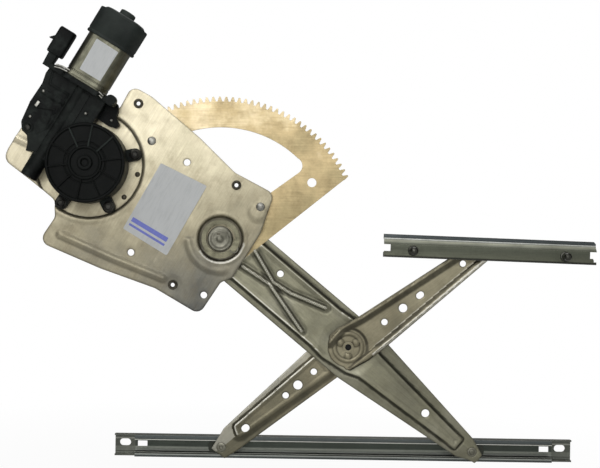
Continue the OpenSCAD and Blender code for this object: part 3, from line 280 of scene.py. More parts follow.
@dataclass(frozen=True)
class PlatedSheet:
    """Zinc-plated cold-rolled steel sheet: a satin face with faint rolling lines, cloudy passivation and stains."""

    name: str
    pale: str
    middle: str
    deep: str
    stain: str
    lines: Axis = Axis.ALONG_X
    metallic: float = 0.75
    rough_low: float = 0.30
    rough_high: float = 0.46
    cloud_mm: float = 55.0
    cloudy: float = 0.35
    stained: float = 0.18
    drift: tuple[float, float, float] = (0.0, 0.0, 0.0)
    level: float = 0.5
    # the next two colours are painted light: painted shade in hollows, then painted highlight on crests
    painted_shade: str = "#1d1c17"
    bare: str = "#e0ded3"
    worn_edge: str = "#c9c6b8"
    # painted bands of shade and highlight across a rail's profile, by height
    painted_bands: tuple[tuple[float, str], ...] = ()
    painted_bands_at: float = 0.0
    painted_bands_fall: float = 0.0
    painted_bands_run: tuple[float, float] = (-1000.0, 1000.0)
    painted_bands_half: float = 12.5

    def with_painted_bands(self, s: Surface, colour: Node) -> Node:
        """Paint bands of shade and highlight along the front faces, by height in millimetres.

        Args:
            s: Surface that takes the nodes.
            colour: Colour under the painted bands.

        Returns:
            The colour with its painted bands.
        """
        low, high = self.painted_bands_at - self.painted_bands_half, self.painted_bands_at + self.painted_bands_half
        height = s.add("SeparateXYZ", s.turned(-self.painted_bands_fall)).outputs["Z"]
        stops = [((place + self.painted_bands_half) / (2 * self.painted_bands_half), code) for place, code in self.painted_bands]
        bands = s.add("ValToRGB", s.add("MapRange", height, 0.0, 1.0, low * MM, high * MM), stops=stops)
        facing = s.add("SeparateXYZ", s.add("NewGeometry")).outputs["Y"]
        along = s.add("SeparateXYZ", s.place).outputs["X"]
        first, last = (end * MM for end in self.painted_bands_run)
        run = s.add("Math", s.add("MapRange", along, 0.3, 1.0, first, first + MM),
                    s.add("MapRange", along, 1.0, 0.3, last, last + MM), **MULTIPLY)
        share = s.add("Math", s.add("MapRange", facing, 0.86, 0.0, -0.6, -0.3), run, **MULTIPLY)
        return s.add("Mix", share, colour, bands)

    def build(self) -> bpy.types.Material:
        """Build the material.

        Returns:
            The finished material.
        """
        s = Surface(self.name)
        # passivation settles in clouds a hand wide, and the sheet's own grain is about a millimetre
        clouds = s.add("TexNoise", s.place, per_mm(self.cloud_mm), 4.0, 0.6)
        specks = s.add("TexNoise", s.place, per_mm(2.2), 5.0, 0.65)
        lines = s.add("TexNoise", s.turned(self.lines.value, 30.0), per_mm(1.1), 3.0, 0.6)
        blots = s.add("TexNoise", s.place, per_mm(17.0), 6.0, 0.62)
        drift = s.add("VectorMath", s.place, self.drift, operation="DOT_PRODUCT").outputs["Value"]
        swing = s.add("MapRange", clouds, self.level - self.cloudy, self.level + self.cloudy, 0.3, 0.7)
        stops = ((0.0, self.pale), (0.5, self.middle), (1.0, self.deep))
        colour = s.add("ValToRGB", s.add("Math", swing, drift), stops=stops)
        # rails get their painted bands of shade and highlight
        if self.painted_bands:
            colour = self.with_painted_bands(s, colour)
        colour = s.layered(colour, (blots, self.stained, 0.50, 0.72, self.stain),
                           (specks, 0.16, 0.35, 0.7, grey(0.9), "OVERLAY"),
                           (lines, 0.12, 0.35, 0.65, self.stain, "MULTIPLY"))
        # painted shade in the hollows of pressed parts, laid on in dirt-like patches, and painted highlights on crests,
        # both given by the mesh itself
        painted_light = s.add("Attribute", attribute_name="painted_light")
        hollow, patchy = s.add("MapRange", painted_light, 0.0, 1.0, 0.52, 0.95), s.add("MapRange", blots, 0.75, 1.0, 0.3, 0.7)
        shade_share = s.add("Math", s.add("Math", hollow, patchy, **MULTIPLY), 0.88, **MULTIPLY)
        colour = s.add("Mix", shade_share, colour, linear(self.painted_shade))
        # painted highlight on crests, in the bare colour
        crest, known = s.add("MapRange", painted_light, 0.8, 0.0, 0.1, 0.47), s.add("MapRange", painted_light, 0.0, 1.0, 0.0, 0.001)
        colour = s.add("Mix", s.add("Math", crest, known, **MULTIPLY), colour, linear(self.bare))
        # rubbed edges lose the plating and shine
        colour = s.layered(colour, (s.edge_mask(), 0.45, 0.0, 1.0, self.worn_edge))
        grain = s.add("Math", lines, specks)
        height = s.add("Math", grain, s.add("Math", clouds, 1.4, **MULTIPLY))
        rough = ((blots, self.rough_low, self.rough_high), (lines, -0.05, 0.07))
        return s.finish(colour, rough, height, self.metallic, 0.35, 0.2, 0.1)


@dataclass(frozen=True)
class MachinedMetal:
    """Turned, drawn or ground metal: fine tool lines in one direction and small rubbed patches."""

    name: str
    base: str
    # colour of the rubbed patches
    worn_and_lit: str
    lines: Axis = Axis.ALONG_X
    metallic: float = 1.0
    roughness: float = 0.32
    line_mm: float = 0.5

    def build(self) -> bpy.types.Material:
        """Build the material.

        Returns:
            The finished material.
        """
        s = Surface(self.name)
        lines = s.add("TexNoise", s.turned(self.lines.value, 25.0), per_mm(self.line_mm), 3.0, 0.6)
        patches = s.add("TexNoise", s.place, per_mm(9.0), 5.0, 0.6)
        colour = s.layered(linear(self.base), (patches, 1.0, 0.38, 0.66, self.worn_and_lit),
                           (lines, 0.3, 0.3, 0.7, grey(0.12), "MULTIPLY"))
        rough = ((patches, self.roughness - 0.06, self.roughness + 0.12), (lines, -0.04, 0.06))
        return s.finish(colour, rough, s.add("Math", lines, patches), self.metallic, 0.3, 0.2, 0.05)


@dataclass(frozen=True)
class MouldedPlastic:
    """Glass-filled nylon out of an eroded mould: matt and pebbled, with pale handling dust and a painted highlight on
    its edges.
    """

    name: str
    base: str
    dust_and_sheen: str
    roughness: float = 0.5
    grain_mm: float = 0.7
    dusty: float = 0.2
    specular: float = 0.14

    def build(self) -> bpy.types.Material:
        """Build the material.

        Returns:
            The finished material.
        """
        s = Surface(self.name)
        pebbles = s.add("TexNoise", s.place, per_mm(self.grain_mm), 2.0, 0.5)
        patches = s.add("TexNoise", s.place, per_mm(14.0), 6.0, 0.66)
        swirl = s.add("TexNoise", s.place, per_mm(45.0), 3.0, 0.5)
        fill(s.shader, "Specular IOR Level", self.specular)
        # pale swirls and patches of dust, and the same pale colour on the edges as a painted highlight
        colour = s.layered(linear(self.base), (swirl, 0.4, 0.35, 0.65, self.dust_and_sheen),
                           (patches, self.dusty, 0.49, 0.66, self.dust_and_sheen), (s.edge_mask(), 0.45, 0.0, 1.0, self.dust_and_sheen))
        rough = ((patches, self.roughness - 0.08, self.roughness + 0.12), (pebbles, -0.05, 0.05))
        height = s.add("Math", pebbles, s.add("Math", patches, 0.4, **MULTIPLY))
        return s.finish(colour, rough, height, 0.0, 0.8, 0.22, 0.06)


@dataclass(frozen=True)
class StickerFilm:
    """Matt silvered polyester film: nearly smooth, a little rippled and scuffed."""

    name: str
    base: str
    scuff: str

    def build(self) -> bpy.types.Material:
        """Build the material.

        Returns:
            The finished material.
        """
        s = Surface(self.name)
        ripple = s.add("TexNoise", s.place, per_mm(12.0), 2.0, 0.5)
        scuffs = s.add("TexNoise", s.turned(62.0, 8.0), per_mm(1.6), 5.0, 0.7)
        colour = s.layered(linear(self.base), (scuffs, 0.5, 0.5, 0.72, self.scuff))
        return s.finish(colour, ((scuffs, 0.38, 0.58),), ripple, 0.25, 0.1, 0.15, 0.1)


class Finish(Enum):
    """Every finish of the object, by what the real surface is."""

    # yellow-passivated zinc on pressed sheet: cream at the upper left, browner and greyer lower down
    PLATE = PlatedSheet("yellow_zinc_plate", "#dfd5b7", "#979079", "#5a5b57", "#7d6d50", Axis.MOTOR, 0.6,
                        cloudy=0.16, drift=(0.7, 0.0, -4.6), level=0.60)
    # the blanked sector has the same plating, rubbed by the pinion
    SECTOR = PlatedSheet("yellow_zinc_sector", "#f2deb8", "#bda97f", "#a2936d", "#857552", Axis.ALONG_X, 0.6,
                         cloud_mm=40.0, stained=0.35, drift=(1.8, 0.0, -4.0), level=0.86)
    # galvanised arms: olive grey with a satin sheen
    LIFT_STEEL = PlatedSheet("galvanised_lift_arm", "#9f9d8c", "#84826e", "#6a695c", "#55503e", Axis.LIFT_ARM, 0.8)
    # the equalizer's drift darkens it towards the lower left as painted shade
    ARM_STEEL = PlatedSheet("galvanised_equalizer", "#9c967e", "#7e7863", "#636152", "#524e40", Axis.EQUALIZER, 0.8,
                            drift=(-1.6, 0.0, -1.6), level=0.55)
    # roll-formed galvanised rails: darker, with painted bands of shade and highlight along their length
    GLASS_RAIL = PlatedSheet(
        "galvanised_glass_rail", "#7d7f76", "#64665e", "#4e504a", "#3f403a", Axis.ALONG_X, 0.85, cloud_mm=70.0,
        painted_bands_at=-221.6, painted_bands_run=(-90.0, 356.0), painted_bands=(
            (-11.8, "#3a4042"), (-9.6, "#4b5152"), (-8.8, "#a9ada8"), (-8.2, "#9da19c"), (-7.7, "#17191a"),
            (-6.9, "#1a1c1d"), (-6.4, "#a5a9a2"), (-5.8, "#989c95"), (-5.0, "#868a83"), (-2.6, "#92968c"),
            (-1.8, "#4a504a"), (-0.6, "#3c433d"), (4.6, "#434943"), (5.2, "#232725"), (5.5, "#3a3e3a"),
            (5.9, "#e2e3db"), (7.0, "#d5d6ce"), (7.4, "#2a2e2e"), (8.2, "#4e5455"), (11.8, "#5c6263"),
        ),
    )
    FIXED_RAIL = PlatedSheet(
        "galvanised_fixed_rail", "#7d7f76", "#64665e", "#4e504a", "#3f403a", Axis.ALONG_X, 0.85, cloud_mm=70.0,
        painted_bands_fall=1.4, painted_bands=(
            (-12.0, "#1b1c19"), (-10.4, "#24251f"), (-9.4, "#5c5e50"), (-2.0, "#505347"), (2.6, "#5a5d50"),
            (3.6, "#7f8174"), (5.4, "#a4a594"), (6.4, "#b4b5a5"), (6.8, "#5c6260"), (7.2, "#cccec8"),
            (7.9, "#c2c4be"), (8.2, "#30363a"), (9.6, "#444b4e"), (11.4, "#3b4144"), (12.0, "#2b3031"),
        ),
    )
    # drawn motor case: bright zinc with drawing lines along its axis
    CAN = MachinedMetal("zinc_drawn_case", "#737263", "#5f5f52", Axis.MOTOR, 1.0, 0.34, 0.8)
    BRIGHT = MachinedMetal("bright_zinc_fastener", "#b9b8b0", "#84837c")
    PIVOT = MachinedMetal("pressed_pivot_head", "#918f82", "#6e6d61", roughness=0.44)
    STUD = MachinedMetal("rolled_stud_steel", "#55554f", "#33332f", roughness=0.26)
    BLACK_SCREW = MachinedMetal("black_oxide_screw", "#222221", "#4c4b47", roughness=0.36)
    DARK = MachinedMetal("dark_zinc_nut", "#5a564c", "#37342d", roughness=0.42)
    SPRING = MachinedMetal("blued_spring_strip", "#8b8873", "#74725f", roughness=0.42, line_mm=3.0)
    GEAR = MachinedMetal("oiled_gear_steel", "#6d6c66", "#45443f", roughness=0.3)
    BRONZE = MachinedMetal("sintered_bronze", "#9a7b4c", "#6f5732", roughness=0.45)
    COPPER = MachinedMetal("turned_copper", "#b5764c", "#8a5433")
    TIN = MachinedMetal("tinned_terminal", "#b7ab84", "#8d8260")
    LAMINATION = MachinedMetal("stacked_core_steel", "#54534f", "#3a3936", roughness=0.5)
    FERRITE = MachinedMetal("ground_ferrite", "#3a3a3c", "#2a2a2c", Axis.MOTOR, 0.2, 0.6)
    HOUSING = MouldedPlastic("black_filled_nylon", "#030404", "#2d322f", 0.45, dusty=0.6, specular=0.09)
    COVER = MouldedPlastic("black_ribbed_cover", "#050706", "#171a18", 0.45, specular=0.09)
    CAP = MouldedPlastic("black_cap_rubber", "#1d2220", "#454b47", 0.55, 0.9, 0.12)
    RUBBER = MouldedPlastic("damper_rubber", "#1a1a1a", "#2a2a29", 0.7)
    SHOE = MouldedPlastic("greased_acetal_shoe", "#33362f", "#43463f", 0.36, 1.4)
    WHEEL = MouldedPlastic("white_acetal_wheel", "#d3cdb9", "#b8b09a", 0.4, 1.2)
    PHENOLIC = MouldedPlastic("brown_phenolic", "#5d4631", "#7a6046", 0.5)
    BOARD = MouldedPlastic("green_circuit_board", "#1f5a38", "#2f7048", 0.35)
    LABEL = StickerFilm("silvered_film", "#afb1b1", "#9b9e9f")
    LABEL_BLUE = StickerFilm("blue_printed_film", "#646cb4", "#858cbf")

    def material(self) -> bpy.types.Material:
        """Give this finish's material, building it once."""
        return bpy.data.materials.get(self.value.name) or self.value.build()


CAD_FINISHES: dict[Finish, str] = {
    Finish.PLATE: "base_plate",
    Finish.SECTOR: "sector_gear",
    Finish.LIFT_STEEL: "lift_arm pivot_pin",
    Finish.ARM_STEEL: "equalizer_front_arm equalizer_rear_arm centre_pin",
    Finish.GLASS_RAIL: "glass_rail",
    Finish.FIXED_RAIL: "fixed_rail",
    Finish.CAN: "motor_can",
    Finish.BRIGHT: "mounting_screws case_screws sector_rivets lift_slider_pin front_slider_pin rear_slider_pin "
    "plate_rivets armature_shaft",
    Finish.DARK: "clinch_nuts",
    Finish.STUD: "fixed_rail_studs",
    Finish.SPRING: "counterbalance_spring",
    Finish.GEAR: "output_pinion",
    Finish.BRONZE: "pivot_bush rear_bearing front_bearing tail_bearing output_bush centre_bush",
    Finish.COPPER: "commutator",
    Finish.TIN: "connector_pins",
    Finish.LAMINATION: "armature_core",
    Finish.FERRITE: "field_magnets",
    Finish.HOUSING: "gear_housing electronics_case connector_socket",
    Finish.COVER: "gear_cover",
    Finish.CAP: "motor_end_cap",
    Finish.RUBBER: "rubber_damper",
    Finish.SHOE: "lift_slider rear_slider front_slider",
    Finish.WHEEL: "worm_wheel",
    Finish.PHENOLIC: "brush_holder",
    Finish.BOARD: "control_board",
}


def dress_cad_nodes() -> None:
    """Give every CAD node its finish."""
    finishes = {node: finish for finish, nodes in CAD_FINISHES.items() for node in nodes.split()}
    for node, finish in finishes.items():
        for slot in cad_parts[node].material_slots:
            slot.material = finish.material()
    left = sorted(set(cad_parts) - set(finishes))
    log.info("dressed %d CAD nodes, left out: %s", len(finishes), left or "none")


# ---------------------------------------------------------------- mesh helpers


def linked(name: str, data: bpy.types.ID) -> BObject:
    """Put data in the scene as an object at the origin.

    Args:
        name: Name of the object.
        data: Mesh, camera or lamp.

    Returns:
        The new object.
    """
    made = bpy.data.objects.new(name, data)
    bpy.context.scene.collection.objects.link(made)
    return made


def finished(piece: BObject, finish: Finish, smooth_deg: float) -> BObject:
    """Give a piece its finish, and smooth shading over edges flatter than an angle.

    Args:
        piece: Piece in the scene.
        finish: Finish of the piece.
        smooth_deg: Edges flatter than this shade smoothly.

    Returns:
        The same piece.
    """
    mesh = piece.data
    mesh.materials.append(finish.material())
    mesh.polygons.foreach_set("use_smooth", [True] * len(mesh.polygons))
    mesh.set_sharp_from_angle(angle=math.radians(smooth_deg))
    return piece


def fitted(piece: BObject, body: Body, *nodes: str) -> BObject:
    """Let a piece ride on its body and stand for CAD nodes, if any are named, and report it.

    Args:
        piece: Piece in the scene.
        body: Body that carries it.
        nodes: CAD nodes that it stands for.

    Returns:
        The same piece.
    """
    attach(piece, body.value)
    if nodes:
        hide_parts(*nodes)
    log.info("%s: %d faces on %s", piece.name, len(piece.data.polygons), body.value)
    return piece


def new_piece(
    name: str, bm: BMesh, finish: Finish, body: Body | None = None, *nodes: str, smooth_deg: float = 35.0
) -> BObject:
    """Turn a mesh under construction into a finished piece in the scene.

    Args:
        name: Name of the piece.
        bm: Mesh, which is freed.
        finish: Finish of the piece.
        body: Body that carries it, or none for a part that is only copied.
        nodes: CAD nodes that it stands for.
        smooth_deg: Edges flatter than this shade smoothly.

    Returns:
        The new object, at the origin.
    """
    bmesh.ops.remove_doubles(bm, verts=bm.verts, dist=1e-6)
    bmesh.ops.recalc_face_normals(bm, faces=bm.faces)
    mesh = bpy.data.meshes.new(name)
    bm.to_mesh(mesh)
    bm.free()
    piece = finished(linked(name, mesh), finish, smooth_deg)
    return fitted(piece, body, *nodes) if body else piece


def revolve(bm: BMesh, profile: Pairs, segments: int = 48, at: tuple[float, float] | None = None) -> None:
    """Revolve a profile round the Y axis into a closed skin.

    Args:
        bm: Mesh that takes the skin.
        profile: Radius and depth pairs in millimetres, starting and ending on the axis.
        segments: Steps of one turn.
        at: Place of the axis in the plane of the linkage, in millimetres, where it isn't the origin.
    """
    rings = []
    for radius, depth in profile:
        if radius < 1e-6:
            rings.append([bm.verts.new((0.0, depth * MM, 0.0))])
            continue
        turn = [2 * math.pi * i / segments for i in range(segments)]
        rings.append([bm.verts.new((radius * MM * math.cos(a), depth * MM, radius * MM * math.sin(a))) for a in turn])
    for low, high in zip(rings, rings[1:]):
        for i in range(segments):
            j = (i + 1) % segments
            corners = [low[i % len(low)], low[j % len(low)], high[j % len(high)], high[i % len(high)]]
            unique = list(dict.fromkeys(corners))
            if len(unique) > 2:
                bm.faces.new(unique)
    if at:
        bmesh.ops.translate(bm, verts=bm.verts, vec=(at[0] * MM, 0, at[1] * MM))


def plane_turn(angle_deg: float, at: tuple[float, float] = (0.0, 0.0)) -> Matrix:
    """Give a turn in the plane of the linkage and a shift.

    Args:
        angle_deg: Counter-clockwise angle for a viewer on the motor side.
        at: Place of the piece's own origin, in millimetres.

    Returns:
        The matrix that places the piece.
    """
    shift = Vector((at[0] * MM, 0, at[1] * MM))
    return Matrix.Translation(shift) @ Matrix.Rotation(-math.radians(angle_deg), 4, "Y")


def slab(bm: BMesh, outline: Pairs, y0: float, y1: float) -> None:
    """Extrude a closed outline along the depth.

    Args:
        bm: Mesh that takes the slab.
        outline: Points in the plane of the linkage, in millimetres.
        y0: Front depth in millimetres.
        y1: Back depth in millimetres.
    """
    front, back = ([bm.verts.new((x * MM, y * MM, z * MM)) for x, z in outline] for y in (y0, y1))
    bm.faces.new(front)
    bm.faces.new(list(reversed(back)))
    for i in range(len(outline)):
        j = (i + 1) % len(outline)
        bm.faces.new([front[j], front[i], back[i], back[j]])


def flat_piece(name: str, outline: Pairs, y0: float, y1: float, finish: Finish, body: Body = Body.BASE) -> None:
    """Add one flat piece by its outline and its front and back depth in millimetres.

    Args:
        name: Name of the piece.
        outline: Points in the plane of the linkage.
        y0: Front depth.
        y1: Back depth.
        finish: Finish of the piece.
        body: Body that carries it.
    """
    bm = bmesh.new()
    slab(bm, outline, y0, y1)
    new_piece(name, bm, finish, body)


def polar(radius: float, angle_deg: float) -> Vector:
    """Give a point of the linkage's plane by radius and angle."""
    return Vector((radius * math.cos(math.radians(angle_deg)), radius * math.sin(math.radians(angle_deg))))


# ---------------------------------------------------------------- pressed sheet steel


def filleted(corners: Sequence[tuple[float, float, float]], steps: int = 8) -> Array:
    """Round the corners of a closed outline.

    Args:
        corners: Corner points with their fillet radius, all in millimetres.
        steps: Steps of each fillet.

    Returns:
        The outline's points, one row each.
    """
    points: list[Vector] = []
    for i, (x, z, radius) in enumerate(corners):
        here = Vector((x, z))
        if radius == 0:
            points.append(here)
            continue
        before = (Vector(corners[i - 1][:2]) - here).normalized()
        after = (Vector(corners[(i + 1) % len(corners)][:2]) - here).normalized()
        half = before.angle(after) / 2
        centre = here + (before + after).normalized() * radius / math.sin(half)
        start = here + before * radius / math.tan(half) - centre
        end = here + after * radius / math.tan(half) - centre
        first = math.degrees(math.atan2(start.y, start.x))
        sweep = (math.degrees(math.atan2(end.y, end.x)) - first + 540) % 360 - 180
        points += [centre + polar(radius, first + sweep * k / steps) for k in range(steps + 1)]
    return np.array([tuple(p) for p in points])


def disc(at: Sequence[float], radius: float, steps: int = 48) -> Array:
    """Give a round outline."""
    return np.array([tuple(Vector(at) + polar(radius, 360 * i / steps)) for i in range(steps)])


def oblong(at: Sequence[float], length: float, radius: float) -> Array:
    """Give the outline of a slot along the first direction.

    Args:
        at: Middle of the slot.
        length: Length over both round ends.
        radius: Radius of its ends.

    Returns:
        The outline's points, one row each.
    """
    reach = length / 2 - radius
    right = [Vector(at) + Vector((reach, 0)) + polar(radius, a) for a in range(-90, 91, 15)]
    left = [Vector(at) - Vector((reach, 0)) + polar(radius, a) for a in range(90, 271, 15)]
    return np.array([tuple(p) for p in right + left])


def dense(outline: Array, step: float) -> Array:
    """Split an outline's long edges into pieces no longer than a step.

    Args:
        outline: Closed outline.
        step: Greatest length of an edge.

    Returns:
        The outline with its added points.
    """
    rows = []
    for a, b in zip(outline, np.roll(outline, -1, axis=0)):
        count = max(1, math.ceil(float(np.hypot(*(b - a))) / step))
        rows += [a + (b - a) * k / count for k in range(count)]
    return np.array(rows)


def segment_distance(points: Array, a: Sequence[float], b: Sequence[float]) -> Array:
    """Give each point's distance to one straight segment.

    Args:
        points: Points, one row each.
        a: Start of the segment.
        b: End of the segment.

    Returns:
        One distance for each point.
    """
    a, way = np.asarray(a, float), np.asarray(b, float) - np.asarray(a, float)
    along = np.clip(((points - a) @ way) / max(float(way @ way), 1e-12), 0.0, 1.0)
    return np.hypot(*(points - a - along[:, None] * way).T)


def line_distance(points: Array, line: Sequence[Sequence[float]]) -> Array:
    """Give each point's distance to a line through several places."""
    return np.min([segment_distance(points, a, b) for a, b in zip(line, line[1:])], axis=0)


def outline_distance(points: Array, outline: Array) -> Array:
    """Give each point's distance to a closed outline, negative inside it.

    Args:
        points: Points, one row each.
        outline: Corners of the outline, one row each.

    Returns:
        One distance for each point.
    """
    near = np.full(len(points), np.inf)
    inside = np.zeros(len(points), bool)
    x, z = points.T
    for a, b in zip(outline, np.roll(outline, -1, axis=0)):
        near = np.minimum(near, segment_distance(points, a, b))
        if a[1] != b[1]:
            crossing = (a[1] > z) != (b[1] > z)
            inside ^= crossing & (x < (b[0] - a[0]) * (z - a[1]) / (b[1] - a[1]) + a[0])
    return np.where(inside, -near, near)


def cutouts(*holes: tuple[float, ...]) -> list[Array]:
    """Give the outlines of holes by place and radius, and by length where one is a slot."""
    return [oblong((x, z), *length, radius) if length else disc((x, z), radius) for x, z, radius, *length in holes]


def eased(value: Array, start: float, end: float) -> Array:
    """Rise smoothly from 0 at the start value to 1 at the end value."""
    t = np.clip((value - start) / (end - start), 0.0, 1.0)
    return t * t * (3 - 2 * t)


def bump(distance: Array, flat: float, foot: float) -> Array:
    """Give a rounded swelling: 1 up to the flat distance and 0 from its foot on."""
    return 1 - eased(distance, flat, foot)


@dataclass
class PressedSheet:
    """Sheet steel cut to an outline and pressed to a smooth relief; sizes in millimetres.

    Attributes:
        name: Name of the piece.
        finish: Finish of the piece.
        body: Body that carries it.
        nodes: CAD nodes that it stands for.
        shapes: Closed outlines that together make the blank.
        holes: Closed outlines cut out of it.
        relief: Depth of the front face at given points.
        painted_marks: Painted shade at given points up to 1, painted highlight down to -1.
        thickness: Thickness of the sheet.
        step: Grid step of the mesh.
        hollow_shade: How strongly hollows are darkened with painted shade and crests lightened with a painted
            highlight.
        roll: How far the cut edge is drawn back by the punch.
        place: Where the sheet's own plane stands.
    """

    name: str
    finish: Finish
    body: Body
    nodes: Sequence[str]
    shapes: Sequence[Array]
    holes: Sequence[Array]
    relief: Callable[[Array], Array]
    painted_marks: Callable[[Array], Array] | None = None
    thickness: float = 2.0
    step: float = 1.1
    hollow_shade: float = 1.9
    roll: float = 0.35
    place: Matrix = field(default_factory=Matrix)

    def inside(self, points: Array) -> Array:
        """Give each point's distance to the sheet's edge, negative on the sheet."""
        blank = np.min([outline_distance(points, shape) for shape in self.shapes], axis=0)
        return np.max([blank, *(-outline_distance(points, hole) for hole in self.holes)], axis=0)

    def grid(self) -> Array:
        """Give staggered points that fill the blank, clear of its edges.

        Returns:
            The points, one row each.
        """
        every = np.vstack(list(self.shapes))
        low, high = every.min(axis=0), every.max(axis=0)
        rows = np.arange(low[1], high[1], self.step * 0.866)
        columns = np.arange(low[0], high[0], self.step)
        x, z = np.meshgrid(columns, rows)
        x = x + (np.arange(len(rows)) % 2)[:, None] * self.step / 2
        points = np.column_stack([x.ravel(), z.ravel()])
        return points[self.inside(points) < -0.45 * self.step]

    def triangles(self) -> tuple[Array, Array]:
        """Triangulate the sheet.

        Returns:
            The points of the sheet's plane and its triangles, counter-clockwise.
        """
        loops = [dense(loop, self.step) for loop in (*self.shapes, *self.holes)]
        edges, first = [], 0
        for loop in loops:
            edges += [(first + i, first + (i + 1) % len(loop)) for i in range(len(loop))]
            first += len(loop)
        given = np.vstack([*loops, self.grid()])
        verts, _, faces, *_ = delaunay_2d_cdt([Vector(p) for p in given.tolist()], edges, [], 0, 1e-4)
        flat, corners = np.array([tuple(v) for v in verts]), np.array(faces)
        corners = corners[self.inside(flat[corners].mean(axis=1)) < 0]
        used, corners = np.unique(corners, return_inverse=True)
        flat, corners = flat[used], corners.reshape(-1, 3)
        a, b, c = (flat[corners[:, k]] for k in range(3))
        turn = (b[:, 0] - a[:, 0]) * (c[:, 1] - a[:, 1]) - (b[:, 1] - a[:, 1]) * (c[:, 0] - a[:, 0])
        corners[turn < 0] = corners[turn < 0][:, ::-1]
        return flat, corners

    def painted_light(self, points: Array, depth: Array) -> Array:
        """Give the painted light at each point: painted shade in hollows and a painted highlight on crests.

        Args:
            points: Points of the sheet's plane.
            depth: Depth of the front face there.

        Returns:
            Values from 0 for a painted highlight over 0.5 for a plain face to 1 for full painted shade.
        """
        reach = [polar(1.7, a) for a in range(0, 360, 60)]
        around = np.mean([self.relief(points + tuple(way)) for way in reach], axis=0)
        # hollows get painted shade and crests a painted highlight, by how far they lie below or above the points round
        # them
        painted_light = 0.5 + self.hollow_shade * (depth - around)
        # a dark line of painted shade along the cut edge
        painted_light += 0.32 * bump(-self.inside(points), 0.2, 1.1)
        if self.painted_marks:
            extra = self.painted_marks(points)
            painted_light = np.where(extra < 0, np.minimum(painted_light, 0.5 + 0.5 * extra), np.maximum(painted_light, 0.5 + 0.5 * extra))
        return np.clip(painted_light, 0.0, 1.0)

    def build(self) -> None:
        """Build the sheet with both faces and its cut edge."""
        flat, corners = self.triangles()
        count = len(flat)
        depth = self.relief(flat)
        front = depth + self.roll * bump(-self.inside(flat), 0.0, 0.9)
        sides = np.vstack([corners[:, [k, (k + 1) % 3]] for k in range(3)])
        keys, mates = sides[:, 0] * count + sides[:, 1], sides[:, 1] * count + sides[:, 0]
        rim = sides[~np.isin(keys, mates)]
        wall = np.column_stack([rim[:, 0], rim[:, 0] + count, rim[:, 1] + count, rim[:, 1]])
        skins = [np.column_stack([flat[:, 0], skin, flat[:, 1]]) for skin in (front, depth + self.thickness)]
        turn = np.array(self.place)
        places = np.vstack(skins) * MM @ turn[:3, :3].T + turn[:3, 3]
        mesh = bpy.data.meshes.new(self.name)
        faces = corners.tolist() + (corners[:, ::-1] + count).tolist() + wall.tolist()
        mesh.from_pydata(places.tolist(), [], faces)
        # the painted light goes to the mesh as an attribute that the finish reads; the back face stays plain
        painted_light = np.concatenate([self.painted_light(flat, depth), np.full(count, 0.5)])
        mesh.attributes.new("painted_light", "FLOAT", "POINT").data.foreach_set("value", painted_light.astype(np.float32))
        fitted(finished(linked(self.name, mesh), self.finish, SHEET_SMOOTH_DEG), self.body, *self.nodes)


